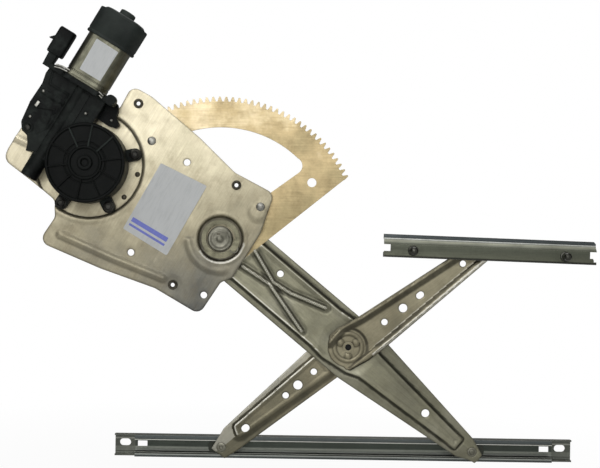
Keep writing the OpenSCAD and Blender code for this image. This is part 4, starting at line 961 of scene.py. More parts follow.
@dataclass
class BasePlate:
    """Pressed carrier plate: recess for the gear case, spring cup, stiffening ribs and a rivet dimple."""

    recess: float = 57.0
    recess_lip: float = 60.5
    cup_wall: tuple[float, float] = (22.8, 24.6)
    cup_lip: float = 26.4
    # radius of the painted shade ring in the spring cup
    painted_shade: float = 21.4
    sink: float = 2.5
    rib: float = 1.6
    # the soft ridge's radius, its middle's angle and how far it reaches to each side
    ridge: float = 33.2
    ridge_deg: float = 130
    ridge_reach: tuple[float, float] = (42, 62)
    corners: tuple = (
        (-110, 131, 8), (-95, 159.5, 9), (-74, 148, 12), (-23, 105.6, 0), (14.4, 69.6, 20), (56, 48, 9), (42, 6, 16),
        (13, -41, 6), (1, -46, 8), (-21, -80, 9), (-68, -53, 0), (-126, -33, 0), (-191, -6, 9), (-174, 20, 9),
        (-175, 38, 9), (-197, 56, 0), (-229, 80, 10), (-224, 92, 9), (-200, 131, 10), (-150, 150, 20),
    )
    # holes by place and radius: for the clinch nuts, then for the two large rivets and the open ones
    nut_holes: tuple = ((-88, 140.6, 3.8), (16.1, 56.4, 3.8), (-49.2, -49.2, 3.8))
    holes: tuple = (
        (-73.5, 101.6, 2.6), (41.7, 34.1, 2.6), (-36.2, 79.6, 3.5), (-93.7, -15.8, 3.5), (-16.5, -59.5, 3.5),
    )
    screw_hole: float = 3.0
    pivot_hole: float = 10.05
    pinion_hole: float = 14.2
    ribs: tuple = (((-60, -42), (-110, -23), (-168, 2)), ((-205, 98), (-218, 104)))
    dimple: tuple = (39.2, 28.6)

    def relief(self, p: Array) -> Array:
        """Give the depth of the front face.

        Args:
            p: Points in the plane of the linkage, one row each.

        Returns:
            Depths in millimetres.
        """
        from_pinion = np.hypot(*(p - PINION_AT).T)
        from_pivot = np.hypot(*p.T)
        depth = 0.16 * np.sin(p[:, 0] / 33 + 0.6) * np.cos(p[:, 1] / 29)
        # soft ridge round the lower left of the pivot, fading out at both ends
        angle = np.degrees(np.arctan2(p[:, 1], p[:, 0]))
        arc = 0.7 * bump(np.abs(angle + self.ridge_deg), *self.ridge_reach)
        arc = arc * bump(np.abs(from_pivot - self.ridge), 0.2, 6.4)
        line = np.max([bump(line_distance(p, rib), 0.3, 5.6) for rib in self.ribs], axis=0)
        depth -= self.rib * np.maximum(arc, line)
        depth -= 1.1 * bump(np.hypot(*(p - self.dimple).T), 5.5, 13.5)
        # the sheet is drawn in round the holes of the clinch nuts
        for x, z, _ in self.nut_holes:
            depth += 0.35 * bump(np.hypot(*(p - (x, z)).T), 5.5, 12.0)
        # raised lips round the recess and the cup, then their floors
        lips = 0.25 * bump(np.abs(from_pinion - self.recess_lip), 0.0, 3.4)
        depth -= lips + 0.4 * bump(np.abs(from_pivot - self.cup_lip), 0.0, 3.0)
        floor = np.maximum(bump(from_pinion, self.recess - 1.2, self.recess + 0.9), bump(from_pivot, *self.cup_wall))
        return depth * (1 - floor) + self.sink * floor

    def painted_marks(self, p: Array) -> Array:
        """Give the painted shade in the spring cup, darkest at its upper left, a dark painted line at the recess wall
        and a painted highlight on the cup's lower lip.

        Args:
            p: Points in the plane of the linkage, one row each.

        Returns:
            Painted shade up to 1, painted highlight down to -1.
        """
        from_pivot, angle = np.hypot(*p.T), np.arctan2(p[:, 1], p[:, 0])
        # painted shade in the cup, darkest at the upper left; painted shade at the recess wall; painted highlight on
        # the lower lip
        shade_by_side = 0.72 + 0.28 * np.cos(angle - math.radians(125))
        cup = bump(np.abs(from_pivot - self.painted_shade), 1.6, 3.0) * shade_by_side
        wall = 0.45 * bump(np.abs(np.hypot(*(p - PINION_AT).T) - self.recess + 0.3), 0.1, 1.3)
        dark = np.maximum(cup, wall)
        lit = 0.8 * bump(np.abs(from_pivot - 25.4), 0.2, 1.3) * bump(np.abs(np.degrees(angle) + 80), 35, 70)
        return np.where(dark > 0.05, dark, -lit)

    def build(self) -> None:
        """Build the plate in place of its CAD node."""
        blank, holes = filleted(self.corners, 5), cutouts(*self.nut_holes, *self.holes)
        holes += [disc(Vector(PINION_AT) + polar(LUG_RADIUS, a), self.screw_hole) for a in LUG_ANGLES]
        holes += [disc((0, 0), self.pivot_hole), disc(PINION_AT, self.pinion_hole)]
        PressedSheet("base_plate_sheet", Finish.PLATE, Body.BASE, ("base_plate",), [blank], holes, self.relief,
                     self.painted_marks, step=1.35, hollow_shade=1.0).build()


@dataclass
class LiftArm:
    """Long pressed arm: flat side bands, raised panel with two crossing ribs and a dished joint."""

    half_width: float = 32.0
    lean_deg: float = Axis.LIFT_ARM.value
    level: float = 8.5
    crown: float = 2.5
    centre: float = 176.4
    tip_at: float = 348.4
    rivet_radius: float = 23.0
    rivet_angles: tuple = (60, 150, 240, 330)
    rivet_hole: float = 3.0
    holes: tuple = ((0, 0, 7.0), (72, 12.5, 3.5), (284, -0.5, 4.2), (176.4, 0, 8.05))
    end_hole: float = 4.5
    # how far the joint's dish reaches, where its shade is darkest, and where along the arm the panel sags most
    dish: tuple[float, float] = (24, 33)
    dish_shade: float = 21.5
    sag_at: float = 108
    tip: float = 12.0
    tip_corners: tuple = (
        (-0.73, 0.97, 0), (0.86, 0.38, 2), (0.89, -0.20, 1), (0.80, -0.59, 1), (0.18, -0.73, 1), (-0.87, -1.21, 0),
    )
    panel: tuple = (
        (24, -26, 6), (34, 26, 6), (144.4, 26, 10), (162.4, 28, 12), (192.4, 24, 14), (206.4, 17, 14),
        (333.4, 5.3, 3.2), (333.4, -10.8, 3.2), (206.4, -18.5, 14), (192.4, -24, 14), (162.4, -28, 12),
        (144.4, -26, 10),
    )
    ribs: tuple = (((36, -7.3), (70, -3), (128, -19)), ((36, 13.5), (72, 1), (94, 4), (132, 16)))

    def relief(self, p: Array) -> Array:
        """Give the depth of the front face, along and across the arm.

        Args:
            p: Points along and across the arm, one row each.

        Returns:
            Depths in millimetres.
        """
        inner = -outline_distance(p, filleted(self.panel))
        joint = np.hypot(p[:, 0] - self.centre, p[:, 1])
        depth = self.level - self.crown * eased(inner, 0.2, 2.3) + 0.35 * bump(np.abs(inner + 0.6), 0.0, 1.4)
        # the panel sags inside its rim, more so in the dish of the joint
        depth += 0.55 * eased(inner, 3.4, 8.5) + 0.5 * bump(joint, *self.dish)
        depth += 0.35 * bump(np.abs(p[:, 0] - self.sag_at), 4, 34) * eased(inner, 3, 9)
        for rib, flat in zip(self.ribs, (0.2, 0.15)):
            away = line_distance(p, rib)
            depth += 0.4 * bump(np.abs(away - 4.9), 0.0, 2.6) * eased(inner, 1, 5)
            depth -= (depth - self.level + self.crown + 1.15) * bump(away, flat, 3.0)
        return depth

    def painted_marks(self, p: Array) -> Array:
        """Give painted shade at the foot of the panel's wall, in the dish at the joint and on the side bands, and
        painted highlights on the rib crests and the wall's crest.

        Args:
            p: Points along and across the arm, one row each.

        Returns:
            Painted shade up to 1, painted highlight down to -1.
        """
        inner = -outline_distance(p, filleted(self.panel))
        joint = p - (self.centre, 0.0)
        dish = bump(np.abs(np.hypot(*joint.T) - self.dish_shade), 1.0, 9.0)
        dish = dish * eased(-joint[:, 0] + 0.4 * joint[:, 1], 6.0, 24.0)
        # painted shade on the flat side bands, one darker than the other
        band = (0.34 - 0.18 * (p[:, 1] > 0)) * (inner < -1.0)
        foot = 0.92 * bump(np.abs(inner - 0.9), 1.0, 2.1) * bump(p[:, 0], 316, 330)
        dark = np.max([foot, 0.42 * dish, band], axis=0)
        # painted highlights on the rib crests and along the top of the panel's wall
        crest = np.min([line_distance(p, rib) for rib in self.ribs], axis=0)
        highlight = 0.9 * bump(crest, 0.1, 0.9) + 0.15 * bump(np.abs(inner - 3.0), 0.0, 1.2) * bump(p[:, 0], 130, 160)
        return np.where(dark > 0.02, dark, -np.minimum(highlight, 1.0))

    def build(self) -> None:
        """Build the arm in place of its CAD node."""
        w, reach = self.half_width - 0.03, self.tip_at
        tip = [(reach + self.tip * t, self.tip * s, r) for t, s, r in self.tip_corners]
        blank = filleted([(0, w, 0), (188.4, w, 40), *tip, (188.4, -w, 40), (0, -w, 0)])
        holes = cutouts(*self.holes)
        holes += [disc(polar(self.rivet_radius, a - self.lean_deg), self.rivet_hole) for a in self.rivet_angles]
        holes += cutouts((reach, 0, self.end_hole))
        shapes = [blank, disc((0, 0), self.half_width)]
        PressedSheet("lift_arm_sheet", Finish.LIFT_STEEL, Body.LIFT, ("lift_arm",), shapes, holes, self.relief,
                     self.painted_marks, step=1.05, place=plane_turn(self.lean_deg)).build()


@dataclass
class FrontArm:
    """Window side half of the crossing arm: sunk panel between a folded lip and a wide bead, ringed joint."""

    lean_deg: float = 36.7
    level: float = 3.4
    bead: float = 1.5
    half_width: float = 20.0
    length: float = 176.4
    tip: float = 12.0
    boss: float = 21.5
    # line along the lower edge, and the distance from it of the groove inside the bead
    foot: tuple = ((10, -24.2), (38, -22.8), (176.4, -12.0))
    groove: float = 6.2
    # radii round the joint of the ring and the groove outside it, and the lobes' distance, angles and size
    ring: float = 14.4
    moat: float = 19.6
    lobe_out: float = 9.4
    lobe_angles: tuple = (30, 150, 270)
    lobe: tuple[float, float] = (1.6, 4.4)
    holes: tuple = (
        (0, 0, 5.0), (176.4, 0, 4.5), (46.5, -1, 3.4), (71, -0.5, 4.5), (93.5, 0, 3.4, 8.8), (149.5, 0.5, 3.3),
    )

    def edge(self) -> Array:
        """Give the blank's outline without its round ends.

        Returns:
            The outline's points, one row each.
        """
        w, tip = self.half_width, self.tip
        return filleted(
            [(-16, 13.5, 1), (-9, w + 1.7, 4), (2, w + 3.2, 6), (14, w + 0.8, 8), (30, w - 0.5, 0),
             (self.length, tip - 0.03, 0), (self.length, 0.03 - tip, 0), (38, -w - 2.8, 0), (10, -w - 4.2, 10),
             (-12.5, -w - 1.5, 3), (-16, -17.5, 1)]
        )

    def beads(self) -> tuple[Array, Array]:
        """Give the outlines of the upper lip and of the lower bead.

        Returns:
            Both outlines, the upper one first.
        """
        w, tip, end = self.half_width, self.tip, self.length
        upper = [(-14.5, 14.4, 0.5), (-8.4, w + 0.8, 3), (2, w + 2.2, 6), (14, w, 8), (30, w - 1.2, 0),
                 (end - 14, tip - 0.4, 1), (end - 14, tip - 2.6, 1), (30, w - 4, 0), (6, w - 0.6, 8),
                 (-8, w - 4, 6)]
        lower = [(-14.6, -18.3, 0.5), (-12, -w - 0.6, 2), (10, -w - 3.3, 10), (38, -w - 1.9, 0),
                 (end - 1, -tip - 0.2, 1), (end - 8, -4.6, 4), (21, 4 - w, 0), (-13, -18, 0)]
        return filleted(upper), filleted(lower)

    def relief(self, p: Array) -> Array:
        """Give the depth of the front face, along and across the arm.

        Args:
            p: Points along and across the arm, one row each.

        Returns:
            Depths in millimetres.
        """
        upper, lower = (outline_distance(p, bead) for bead in self.beads())
        above = p[:, 1] > 0
        joint = np.hypot(*p.T)
        lip = bump(upper, 0.0, 6.0) * above
        fold = 0.45 * bump(np.abs(upper + 1.6), 0.0, 0.9) * above
        wide = bump(lower, -1.4, 0.3) * eased(-lower, -0.4, 1.6)
        groove = 0.5 * bump(np.abs(line_distance(p, self.foot) - self.groove), 0.1, 2.5) * (p[:, 1] < 0)
        groove = groove * eased(p[:, 0], 18, 30)
        depth = self.level - self.bead * np.maximum(lip, wide) + fold + groove
        # ring, dark groove round it and three lobes with creases between them
        depth -= 0.6 * bump(np.abs(joint - self.ring), 0.4, 2.4)
        depth += 0.5 * bump(np.abs(joint - self.moat), 0.0, 1.8) * bump(np.abs(p[:, 1]), 8, 14) * (p[:, 0] > 0)
        for angle in self.lobe_angles:
            depth -= 0.95 * bump(np.hypot(*(p - polar(self.lobe_out, angle - self.lean_deg)).T), *self.lobe)
        return depth

    def painted_marks(self, p: Array) -> Array:
        """Give painted shade on the slope under the lip, on the arc round the joint and in the lower bead's groove, and
        painted highlights along the lower bead and the lip's fold.

        Args:
            p: Points along and across the arm, one row each.

        Returns:
            Painted shade up to 1, painted highlight down to -1.
        """
        upper, lower = (outline_distance(p, bead) for bead in self.beads())
        joint, right = np.hypot(*p.T), p[:, 0]
        # painted shade on the slope under the lip, round the joint and in the groove of the lower bead
        slope = 0.8 * bump(np.abs(upper - 2.7), 1.9, 4.2) * (p[:, 1] > 0)
        arc = 0.85 * bump(np.abs(joint - 20.0), 0.8, 2.2) * eased(right, -6, 6) * bump(np.abs(p[:, 1]), 14, 20)
        away = line_distance(p, self.foot)
        foot = 0.92 * bump(np.abs(away - self.groove), 0.6, 2.3) * (p[:, 1] < 0) * eased(right, 16, 30)
        dark = np.max([slope, arc, foot], axis=0)
        # painted highlights: lines along the lower bead and the lip's fold
        strip = np.maximum(bump(np.abs(away - 2.6), 0.9, 2.4), 0.8 * bump(np.abs(away - 8.5), 0.0, 1.2))
        strip = strip * eased(right, 16, 30)
        highlight = np.max([0.8 * strip * (p[:, 1] < 0), 0.45 * bump(np.abs(upper + 0.9), 0.0, 0.8)], axis=0)
        return np.where(dark > 0.05, dark, -highlight)

    def build(self) -> None:
        """Build the arm in place of its CAD node."""
        shapes = [self.edge(), disc((0, 0), self.boss), disc((self.length, 0), self.tip)]
        PressedSheet("front_arm_sheet", Finish.ARM_STEEL, Body.EQUALIZER, ("equalizer_front_arm",), shapes,
                     cutouts(*self.holes), self.relief, self.painted_marks, step=ARM_STEP,
                     place=plane_turn(self.lean_deg, CENTRE_AT)).build()


@dataclass
class RearArm:
    """Other half of the crossing arm: flat flange above, raised panel, wide slope below."""

    lean_deg: float = 219.5
    level: float = 14.0
    crown: float = 1.5
    length: float = 172.0
    boss: float = 21.5
    half_width: float = 20.0
    tip: float = 12.5
    tip_corners: tuple = ((-1.19, -1.13, 0), (0.7, -0.45, 1), (0.36, 0.9, 0.8), (-1, 1.06, 0))
    panel: tuple = ((29.5, -15.5, 4), (148, -11, 4), (154, 4, 5), (29.5, 11.5, 4))
    holes: tuple = ((0, 0, 5.0), (172.0, 0, 4.5), (45, -1.5, 3.4), (67, -1, 4.8), (84, -0.5, 3.4), (139, 0, 3.8, 9.0))

    def relief(self, p: Array) -> Array:
        """Give the depth of the front face, along and across the arm.

        Args:
            p: Points along and across the arm, one row each.

        Returns:
            Depths in millimetres.
        """
        away = outline_distance(p, filleted(self.panel))
        steep = bump(away, -1.8, 0.4)
        wide = bump(away, -3.5, 5.0)
        share = eased(p[:, 1], -2.0, 4.0)
        depth = self.level - self.crown * (steep * (1 - share) + wide * share)
        return depth + 0.45 * eased(-away, 2.6, 6.5)

    def painted_marks(self, p: Array) -> Array:
        """Give painted shade on the line above the panel and the slope below it, and painted highlights on the flat
        flange and along the panel's rim.

        Args:
            p: Points along and across the arm, one row each.

        Returns:
            Painted shade up to 1, painted highlight down to -1.
        """
        away = outline_distance(p, filleted(self.panel))
        # painted shade on the line at the panel's foot and on the slope; painted highlight on the flange and the rim
        line = 0.85 * bump(np.abs(away + 0.2), 0.3, 1.3) * (p[:, 1] < 0)
        slope = 0.6 * bump(np.abs(away - 2.2), 1.6, 4.6) * (p[:, 1] > 0)
        dark = np.maximum(line, slope)
        highlight = 0.35 * (away > 1.2) * (p[:, 1] < 0) + 0.9 * bump(np.abs(away + 1.9), 0.1, 0.9) * (p[:, 1] < 0)
        return np.where(dark > 0.05, dark, -highlight)

    def build(self) -> None:
        """Build the arm in place of its CAD node."""
        w, reach = self.half_width, self.length
        tip = [(reach + self.tip * t, self.tip * s, r) for t, s, r in self.tip_corners]
        blank = filleted([(0, 0, 0), (0, -self.boss, 0), (38.8, -w - 2.9, 20), *tip, (32.4, w - 1.3, 20), (0, w, 0)])
        shapes = [blank, disc((0, 0), self.boss - 1)]
        PressedSheet("rear_arm_sheet", Finish.ARM_STEEL, Body.EQUALIZER, ("equalizer_rear_arm",), shapes,
                     cutouts(*self.holes), self.relief, self.painted_marks, step=ARM_STEP,
                     place=plane_turn(self.lean_deg, CENTRE_AT)).build()


# ---------------------------------------------------------------- lofted, swept and repeated pieces


def loft(bm: BMesh, rings: Sequence[Sequence[Vector]]) -> None:
    """Join rings of equal point count by faces and close both ends.

    Args:
        bm: Mesh that takes the skin.
        rings: Rings of places, in order.
    """
    skins = [[bm.verts.new(p) for p in ring] for ring in rings]
    for low, high in zip(skins, skins[1:]):
        for i in range(len(low)):
            j = (i + 1) % len(low)
            bm.faces.new([low[i], low[j], high[j], high[i]])
    bm.faces.new(list(reversed(skins[0])))
    bm.faces.new(skins[-1])


def wire(bm: BMesh, way: Sequence[Vector], radius: float, sides: int = 10) -> None:
    """Sweep a round wire along several places.

    Args:
        bm: Mesh that takes the wire.
        way: Places in metres.
        radius: Radius in millimetres.
        sides: Sides of the section.
    """
    rings = []
    for i, here in enumerate(way):
        ahead = (way[min(i + 1, len(way) - 1)] - way[max(i - 1, 0)]).normalized()
        side = ahead.cross(Vector((0, 1, 0))).normalized()
        up = side.cross(ahead)
        turn = [2 * math.pi * k / sides for k in range(sides)]
        rings.append([here + radius * MM * (side * math.cos(a) + up * math.sin(a)) for a in turn])
    loft(bm, rings)


@dataclass
class GeometryTree:
    """A started geometry tree with named inputs, which ends by making its geometry real and giving it a finish."""

    name: str
    sockets: dict[str, str]

    def __post_init__(self) -> None:
        """Start the tree with its inputs and one geometry output."""
        self.tree = bpy.data.node_groups.new(self.name, "GeometryNodeTree")
        for name, kind in (*self.sockets.items(), ("Finish", "Material")):
            self.tree.interface.new_socket(name, in_out="INPUT", socket_type="NodeSocket" + kind)
        self.tree.interface.new_socket("Geometry", in_out="OUTPUT", socket_type="NodeSocketGeometry")
        self.given = self.add("NodeGroupInput").outputs

    def add(self, kind: str, *values, **settings) -> Node:
        """Add a node to this tree."""
        return add_node(self.tree, kind, *values, **settings)

    def close(self, made: Node) -> NodeTree:
        """Make what was built real and give it its finish.

        Args:
            made: Node that made the geometry.

        Returns:
            The finished tree.
        """
        real = self.add("GeometryNodeRealizeInstances", made)
        self.add("NodeGroupOutput", self.add("GeometryNodeSetMaterial", real, self.given["Finish"]))
        return self.tree


def repeat_tree() -> NodeTree:
    """Give the tree that sets turned copies of one part on the points of a mesh, building it once.

    Returns:
        The finished tree.
    """
    name = "repeat_on_points"
    if name in bpy.data.node_groups:
        return bpy.data.node_groups[name]
    sockets = {"Points": "Geometry", "Part": "Object", "Turn step": "Float", "Turn jitter": "Float", "Seed": "Int"}
    g = GeometryTree(name, sockets)
    points, part, turn_step, jitter, seed = (g.given[socket] for socket in sockets)
    part = g.add("GeometryNodeObjectInfo", part)
    steady = g.add("ShaderNodeMath", g.add("GeometryNodeInputIndex"), turn_step, **MULTIPLY)
    back = g.add("ShaderNodeMath", jitter, -1.0, **MULTIPLY)
    loose = g.add("FunctionNodeRandomValue", back, jitter, seed)
    turn = g.add("ShaderNodeCombineXYZ", g.add("ShaderNodeMath", steady, loose))
    return g.close(g.add("GeometryNodeInstanceOnPoints", points, part, turn))


def strip_tree() -> NodeTree:
    """Make the tree that winds a flat strip into a spiral in the plane of the linkage.

    Returns:
        The finished tree.
    """
    names = ("Turns", "Inner radius", "Outer radius", "Strip width", "Strip thickness")
    g = GeometryTree("wound_strip", {"Geometry": "Geometry", **dict.fromkeys(names, "Float")})
    turns, inner, outer, width, thickness = (g.given[name] for name in names)
    spiral = g.add("GeometryNodeCurveSpiral", turns, inner, outer, 72, 0.0)
    section = g.add("GeometryNodeCurvePrimitiveQuadrilateral", thickness, width)
    strip = g.add("GeometryNodeCurveToMesh", g.add("GeometryNodeSetCurveNormal", spiral), section, True)
    return g.close(g.add("GeometryNodeTransform", strip, (math.pi / 2, 0.0, 0.0)))


def grown(name: str, places: Sequence[Sequence[float]], tree: NodeTree, values: dict) -> BObject:
    """Run a geometry tree on bare points and keep the result as a plain mesh.

    Args:
        name: Name of the piece.
        places: Places of the points in millimetres: across, up and in depth.
        tree: Geometry tree to run.
        values: Values of its inputs by name.

    Returns:
        The new piece.
    """
    mesh = bpy.data.meshes.new(name)
    mesh.from_pydata([(x * MM, y * MM, z * MM) for x, z, y in places], [], [])
    piece = linked(name, mesh)
    step = piece.modifiers.new(tree.name, "NODES")
    step.node_group = tree
    for item in tree.interface.items_tree:
        if item.in_out == "INPUT" and item.name in values:
            step[item.identifier] = values[item.name]
    bpy.context.view_layer.update()
    graph = bpy.context.evaluated_depsgraph_get()
    made = bpy.data.meshes.new_from_object(piece.evaluated_get(graph), depsgraph=graph)
    piece.modifiers.clear()
    piece.data = made
    return piece


@dataclass(frozen=True)
class Repeat:
    """Alike small parts at several places; sizes in millimetres.

    Attributes:
        name: Name of the piece.
        finish: Finish of all copies.
        body: Body that carries them.
        profile: Radius and depth pairs of one turned part, or none where a part is given.
        places: Places of the copies: across, up and in depth.
        nodes: CAD nodes that the piece stands for.
        step_deg: Turn from one copy to the next.
        jitter_deg: Loose turn of each copy.
        seed: Seed of the loose turns.
    """

    name: str
    finish: Finish
    body: Body
    profile: tuple
    places: tuple
    nodes: tuple = ()
    step_deg: float = 0.0
    jitter_deg: float = 12.0
    seed: int = 7

    def build(self, part: BObject | None = None) -> None:
        """Build the copies.

        Args:
            part: Finished part to repeat; its own profile is turned where none is given.
        """
        if part is None:
            bm = bmesh.new()
            revolve(bm, self.profile, 36)
            part = new_piece(self.name + "_part", bm, self.finish)
        values = {"Part": part, "Turn step": math.radians(self.step_deg), "Turn jitter": math.radians(self.jitter_deg),
                  "Seed": self.seed, "Finish": self.finish.material()}
        piece = grown(self.name, self.places, repeat_tree(), values)
        bpy.data.objects.remove(part)
        fitted(piece, self.body, *self.nodes)


SCREW_HEAD = (
    (0, -2.6), (2.2, -2.6), (2.45, -3.9), (3.3, -4.35), (4.1, -4.2), (4.6, -3.5), (4.7, -1.6), (5.8, -1.3),
    (6.0, -0.7), (6.0, 0.0), (3.0, 0.0), (3.0, 9.0), (2.4, 9.5), (0, 9.5),
)
NUT_HEAD = (
    (2.5, 3.4), (2.5, 1.2), (2.1, 0.6), (2.1, -0.4), (3.1, -1.55), (4.2, -1.6), (4.8, -1.2), (5.0, -0.5),
    (5.0, 0.0), (3.8, 0.1), (3.8, 2.0), (4.5, 2.1), (4.6, 3.1), (4.2, 3.5), (2.5, 3.4),
)
RIVET_DOME = (
    (0, -1.6), (1.4, -1.5), (2.9, -1.2), (4.0, -0.7), (4.55, -0.2), (4.6, 0.0), (2.6, 0.0), (2.6, 2.0),
    (3.3, 2.1), (3.1, 2.8), (0, 2.9),
)
SMALL_RIVET = ((0, -1.0), (1.2, -0.95), (2.3, -0.6), (2.8, 0.0), (1.6, 0.0), (1.6, 1.9), (0, 1.9))
CLIP_DOME = ((0, -1.1), (0.7, -1.0), (1.3, -0.6), (1.6, 0.0), (1.4, 0.8), (0, 0.8))
STUD_TURNED = (
    (0, -16.9), (1.6, -16.8), (2.9, -16.2), (3.7, -15.2), (4.0, -13.8), (4.0, -2.6), (5.2, -2.2), (5.4, -1.6),
    (5.4, 0.0), (4.4, 0.0), (4.4, 1.5), (0, 1.5),
)
LUG_SCREWS = tuple(
    (PINION_AT[0] + LUG_RADIUS * math.cos(a), PINION_AT[1] + LUG_RADIUS * math.sin(a), -7.0)
    for a in map(math.radians, LUG_ANGLES)
)

REPEATS = (
    Repeat("lug_screws", Finish.BLACK_SCREW, Body.BASE, SCREW_HEAD, LUG_SCREWS, ("mounting_screws",)),
    Repeat("plate_nuts", Finish.DARK, Body.BASE, NUT_HEAD,
           ((-88, 140.6, 0), (16.1, 56.4, 0), (-49.2, -49.2, 0)), ("clinch_nuts",)),
    Repeat("large_rivets", Finish.BRIGHT, Body.BASE, RIVET_DOME, ((-73.5, 101.6, 0), (41.7, 34.1, -1.1)),
           ("plate_rivets",)),
    Repeat("small_rivets", Finish.DARK, Body.BASE, SMALL_RIVET, ((-88.3, 66.2, 2.5), (-102.0, 42.2, 2.5))),
    Repeat("rail_studs", Finish.STUD, Body.BASE, STUD_TURNED, ((201.53, -9.33, -11.7), (359.98, -13.20, -11.7)),
           ("fixed_rail_studs",)),
    Repeat("ear_screw", Finish.BLACK_SCREW, Body.BASE,
           ((0, -1.6), (1.9, -1.6), (2.8, -1.1), (3.1, 0.0), (1.4, 0.3), (1.4, 5.0), (0, 5.0)),
           ((-198.6, 111.6, -25.6),)),
    # bright clips that hold the lid of the electronics, and two small screws on the gear case
    Repeat("lid_clips", Finish.BRIGHT, Body.BASE, CLIP_DOME,
           ((-196.1, 123.0, -25.6), (-182.7, 149.4, -25.6), (-138.9, 126.9, -25.7), (-115.1, 121.7, -8.4))),
)


@dataclass
class Motor:
    """Wiper-size motor: drawn case with flats and a bare sticker, end cap with a knob, flange and its bars."""

    foot: tuple[float, float, float] = (-176.64, -16.0, 98.774)
    lean_deg: float = 59.3
    case_radius: float = 24.3
    case_flat: float = 17.5
    softness: float = 0.9
    round_wall: float = 400.0
    ring_steps: int = 72
    bar_depth: float = -31.6
    # the flange's bent bars: their way, the gap between the two of a pair, and their radius
    bar_pairs: tuple = (
        (((67.6, -33.0), (69.6, -27), (70.2, -18), (70.0, -8.0)), 2.6, 0.85),
        (((67.4, 14.6), (67.0, 20.0), (65.6, 25.4)), 2.4, 0.8),
    )
    sticker: tuple = ((79.2, -9.6), (114.9, -10.8), (114.3, 15.4), (79.3, 15.0))
    ear: tuple = (68.5, 33.5)
    ear_radius: float = 5.6
    # sections of the end cap: distance along the motor, radius and flat, which is out of reach where it is round
    cap: tuple = (
        (118.0, 26.6, 19.8), (118.4, 27.4, 20.6), (120.4, 27.5, 20.7), (120.9, 26.9, 20.1), (122.4, 26.9, 20.1),
        (122.9, 27.3, 20.5), (146.2, 27.4, 20.6), (147.0, 26.9, 20.1), (147.1, 23.6, 17.6), (148.4, 23.0, 17.2),
        (149.6, 21.4, 15.8), (150.1, 18.6, 13.6), (150.2, 11.4, 200), (150.3, 9.0, 200), (150.5, 8.6, 200),
        (154.6, 8.4, 200), (155.5, 7.8, 200), (156.0, 6.4, 200),
    )

    def place(self, t: float, s: float, y: float) -> Vector:
        """Give a place by its distance along the motor, to its right side and in depth."""
        along, side = polar(t, self.lean_deg), polar(s, self.lean_deg - 90)
        return Vector(((self.foot[0] + along.x + side.x) * MM, y * MM, (self.foot[2] + along.y + side.y) * MM))

    def outline(self, corners: Pairs) -> list[tuple[float, float]]:
        """Give places in the plane of the linkage by their distance along the motor and to its right side."""
        return [(p.x, p.z) for p in (self.place(t, s, 0) / MM for t, s in corners)]

    def ring(self, t: float, radius: float, flat: float) -> list[Vector]:
        """Give one rounded section of the case, round but for two flats.

        Args:
            t: Distance along the motor.
            radius: Radius of the section.
            flat: Distance of its flats from the axis.

        Returns:
            Places round the section, in metres.
        """
        points = []
        for i in range(self.ring_steps):
            a = 2 * math.pi * (i + 0.5) / self.ring_steps
            k, wall = self.softness, flat / abs(math.sin(a))
            reach = -math.log(math.exp(-k * radius) + math.exp(-k * min(wall, self.round_wall))) / k
            points.append(self.place(t, reach * math.cos(a), self.foot[1] + reach * math.sin(a)))
        return points

    def turned(self, name: str, sections: Sequence[tuple[float, float, float]], finish: Finish, node: str) -> None:
        """Build one lofted part of the motor.

        Args:
            name: Name of the piece.
            sections: Distance, radius and flat of each section.
            finish: Finish of the piece.
            node: CAD node that it stands for.
        """
        bm = bmesh.new()
        loft(bm, [self.ring(*section) for section in sections])
        new_piece(name, bm, finish, Body.BASE, node, smooth_deg=40.0)

    def bars(self) -> None:
        """Build the two pairs of bent bars that grip the flange."""
        bm = bmesh.new()
        for bar, gap, radius in self.bar_pairs:
            for shift in (0.0, gap):
                wire(bm, [self.place(t + shift, s, self.bar_depth) for t, s in bar], radius)
        new_piece("flange_bars", bm, Finish.BRIGHT, Body.BASE)

    def build(self) -> None:
        """Build the motor's outside."""
        r, f = self.case_radius, self.case_flat
        case = [(69.0, r + 1.0, f + 0.6), (69.3, r + 1.2, f + 0.8), (70.2, r + 1.2, f + 0.8), (70.6, r + 0.8, f + 0.5),
                (71.0, r + 0.2, f + 0.1), (72.0, r, f), (74.6, r, f), (75.0, r - 0.5, f - 0.4),
                (75.8, r - 0.5, f - 0.4), (76.2, r, f), (118.5, r, f), (142.5, r, f), (144.0, r - 1.6, f - 1.2)]
        self.turned("drawn_case", case, Finish.CAN, "motor_can")
        self.turned("end_cap", self.cap, Finish.CAP, "motor_end_cap")
        front = self.foot[1] - f
        flat_piece("bare_sticker", self.outline(self.sticker), front - 0.12, front + 0.3, Finish.LABEL)
        self.bars()
        ear = disc(self.outline([self.ear])[0], self.ear_radius, 28)
        flat_piece("flange_ear", ear, -31.0, -20.0, Finish.HOUSING)


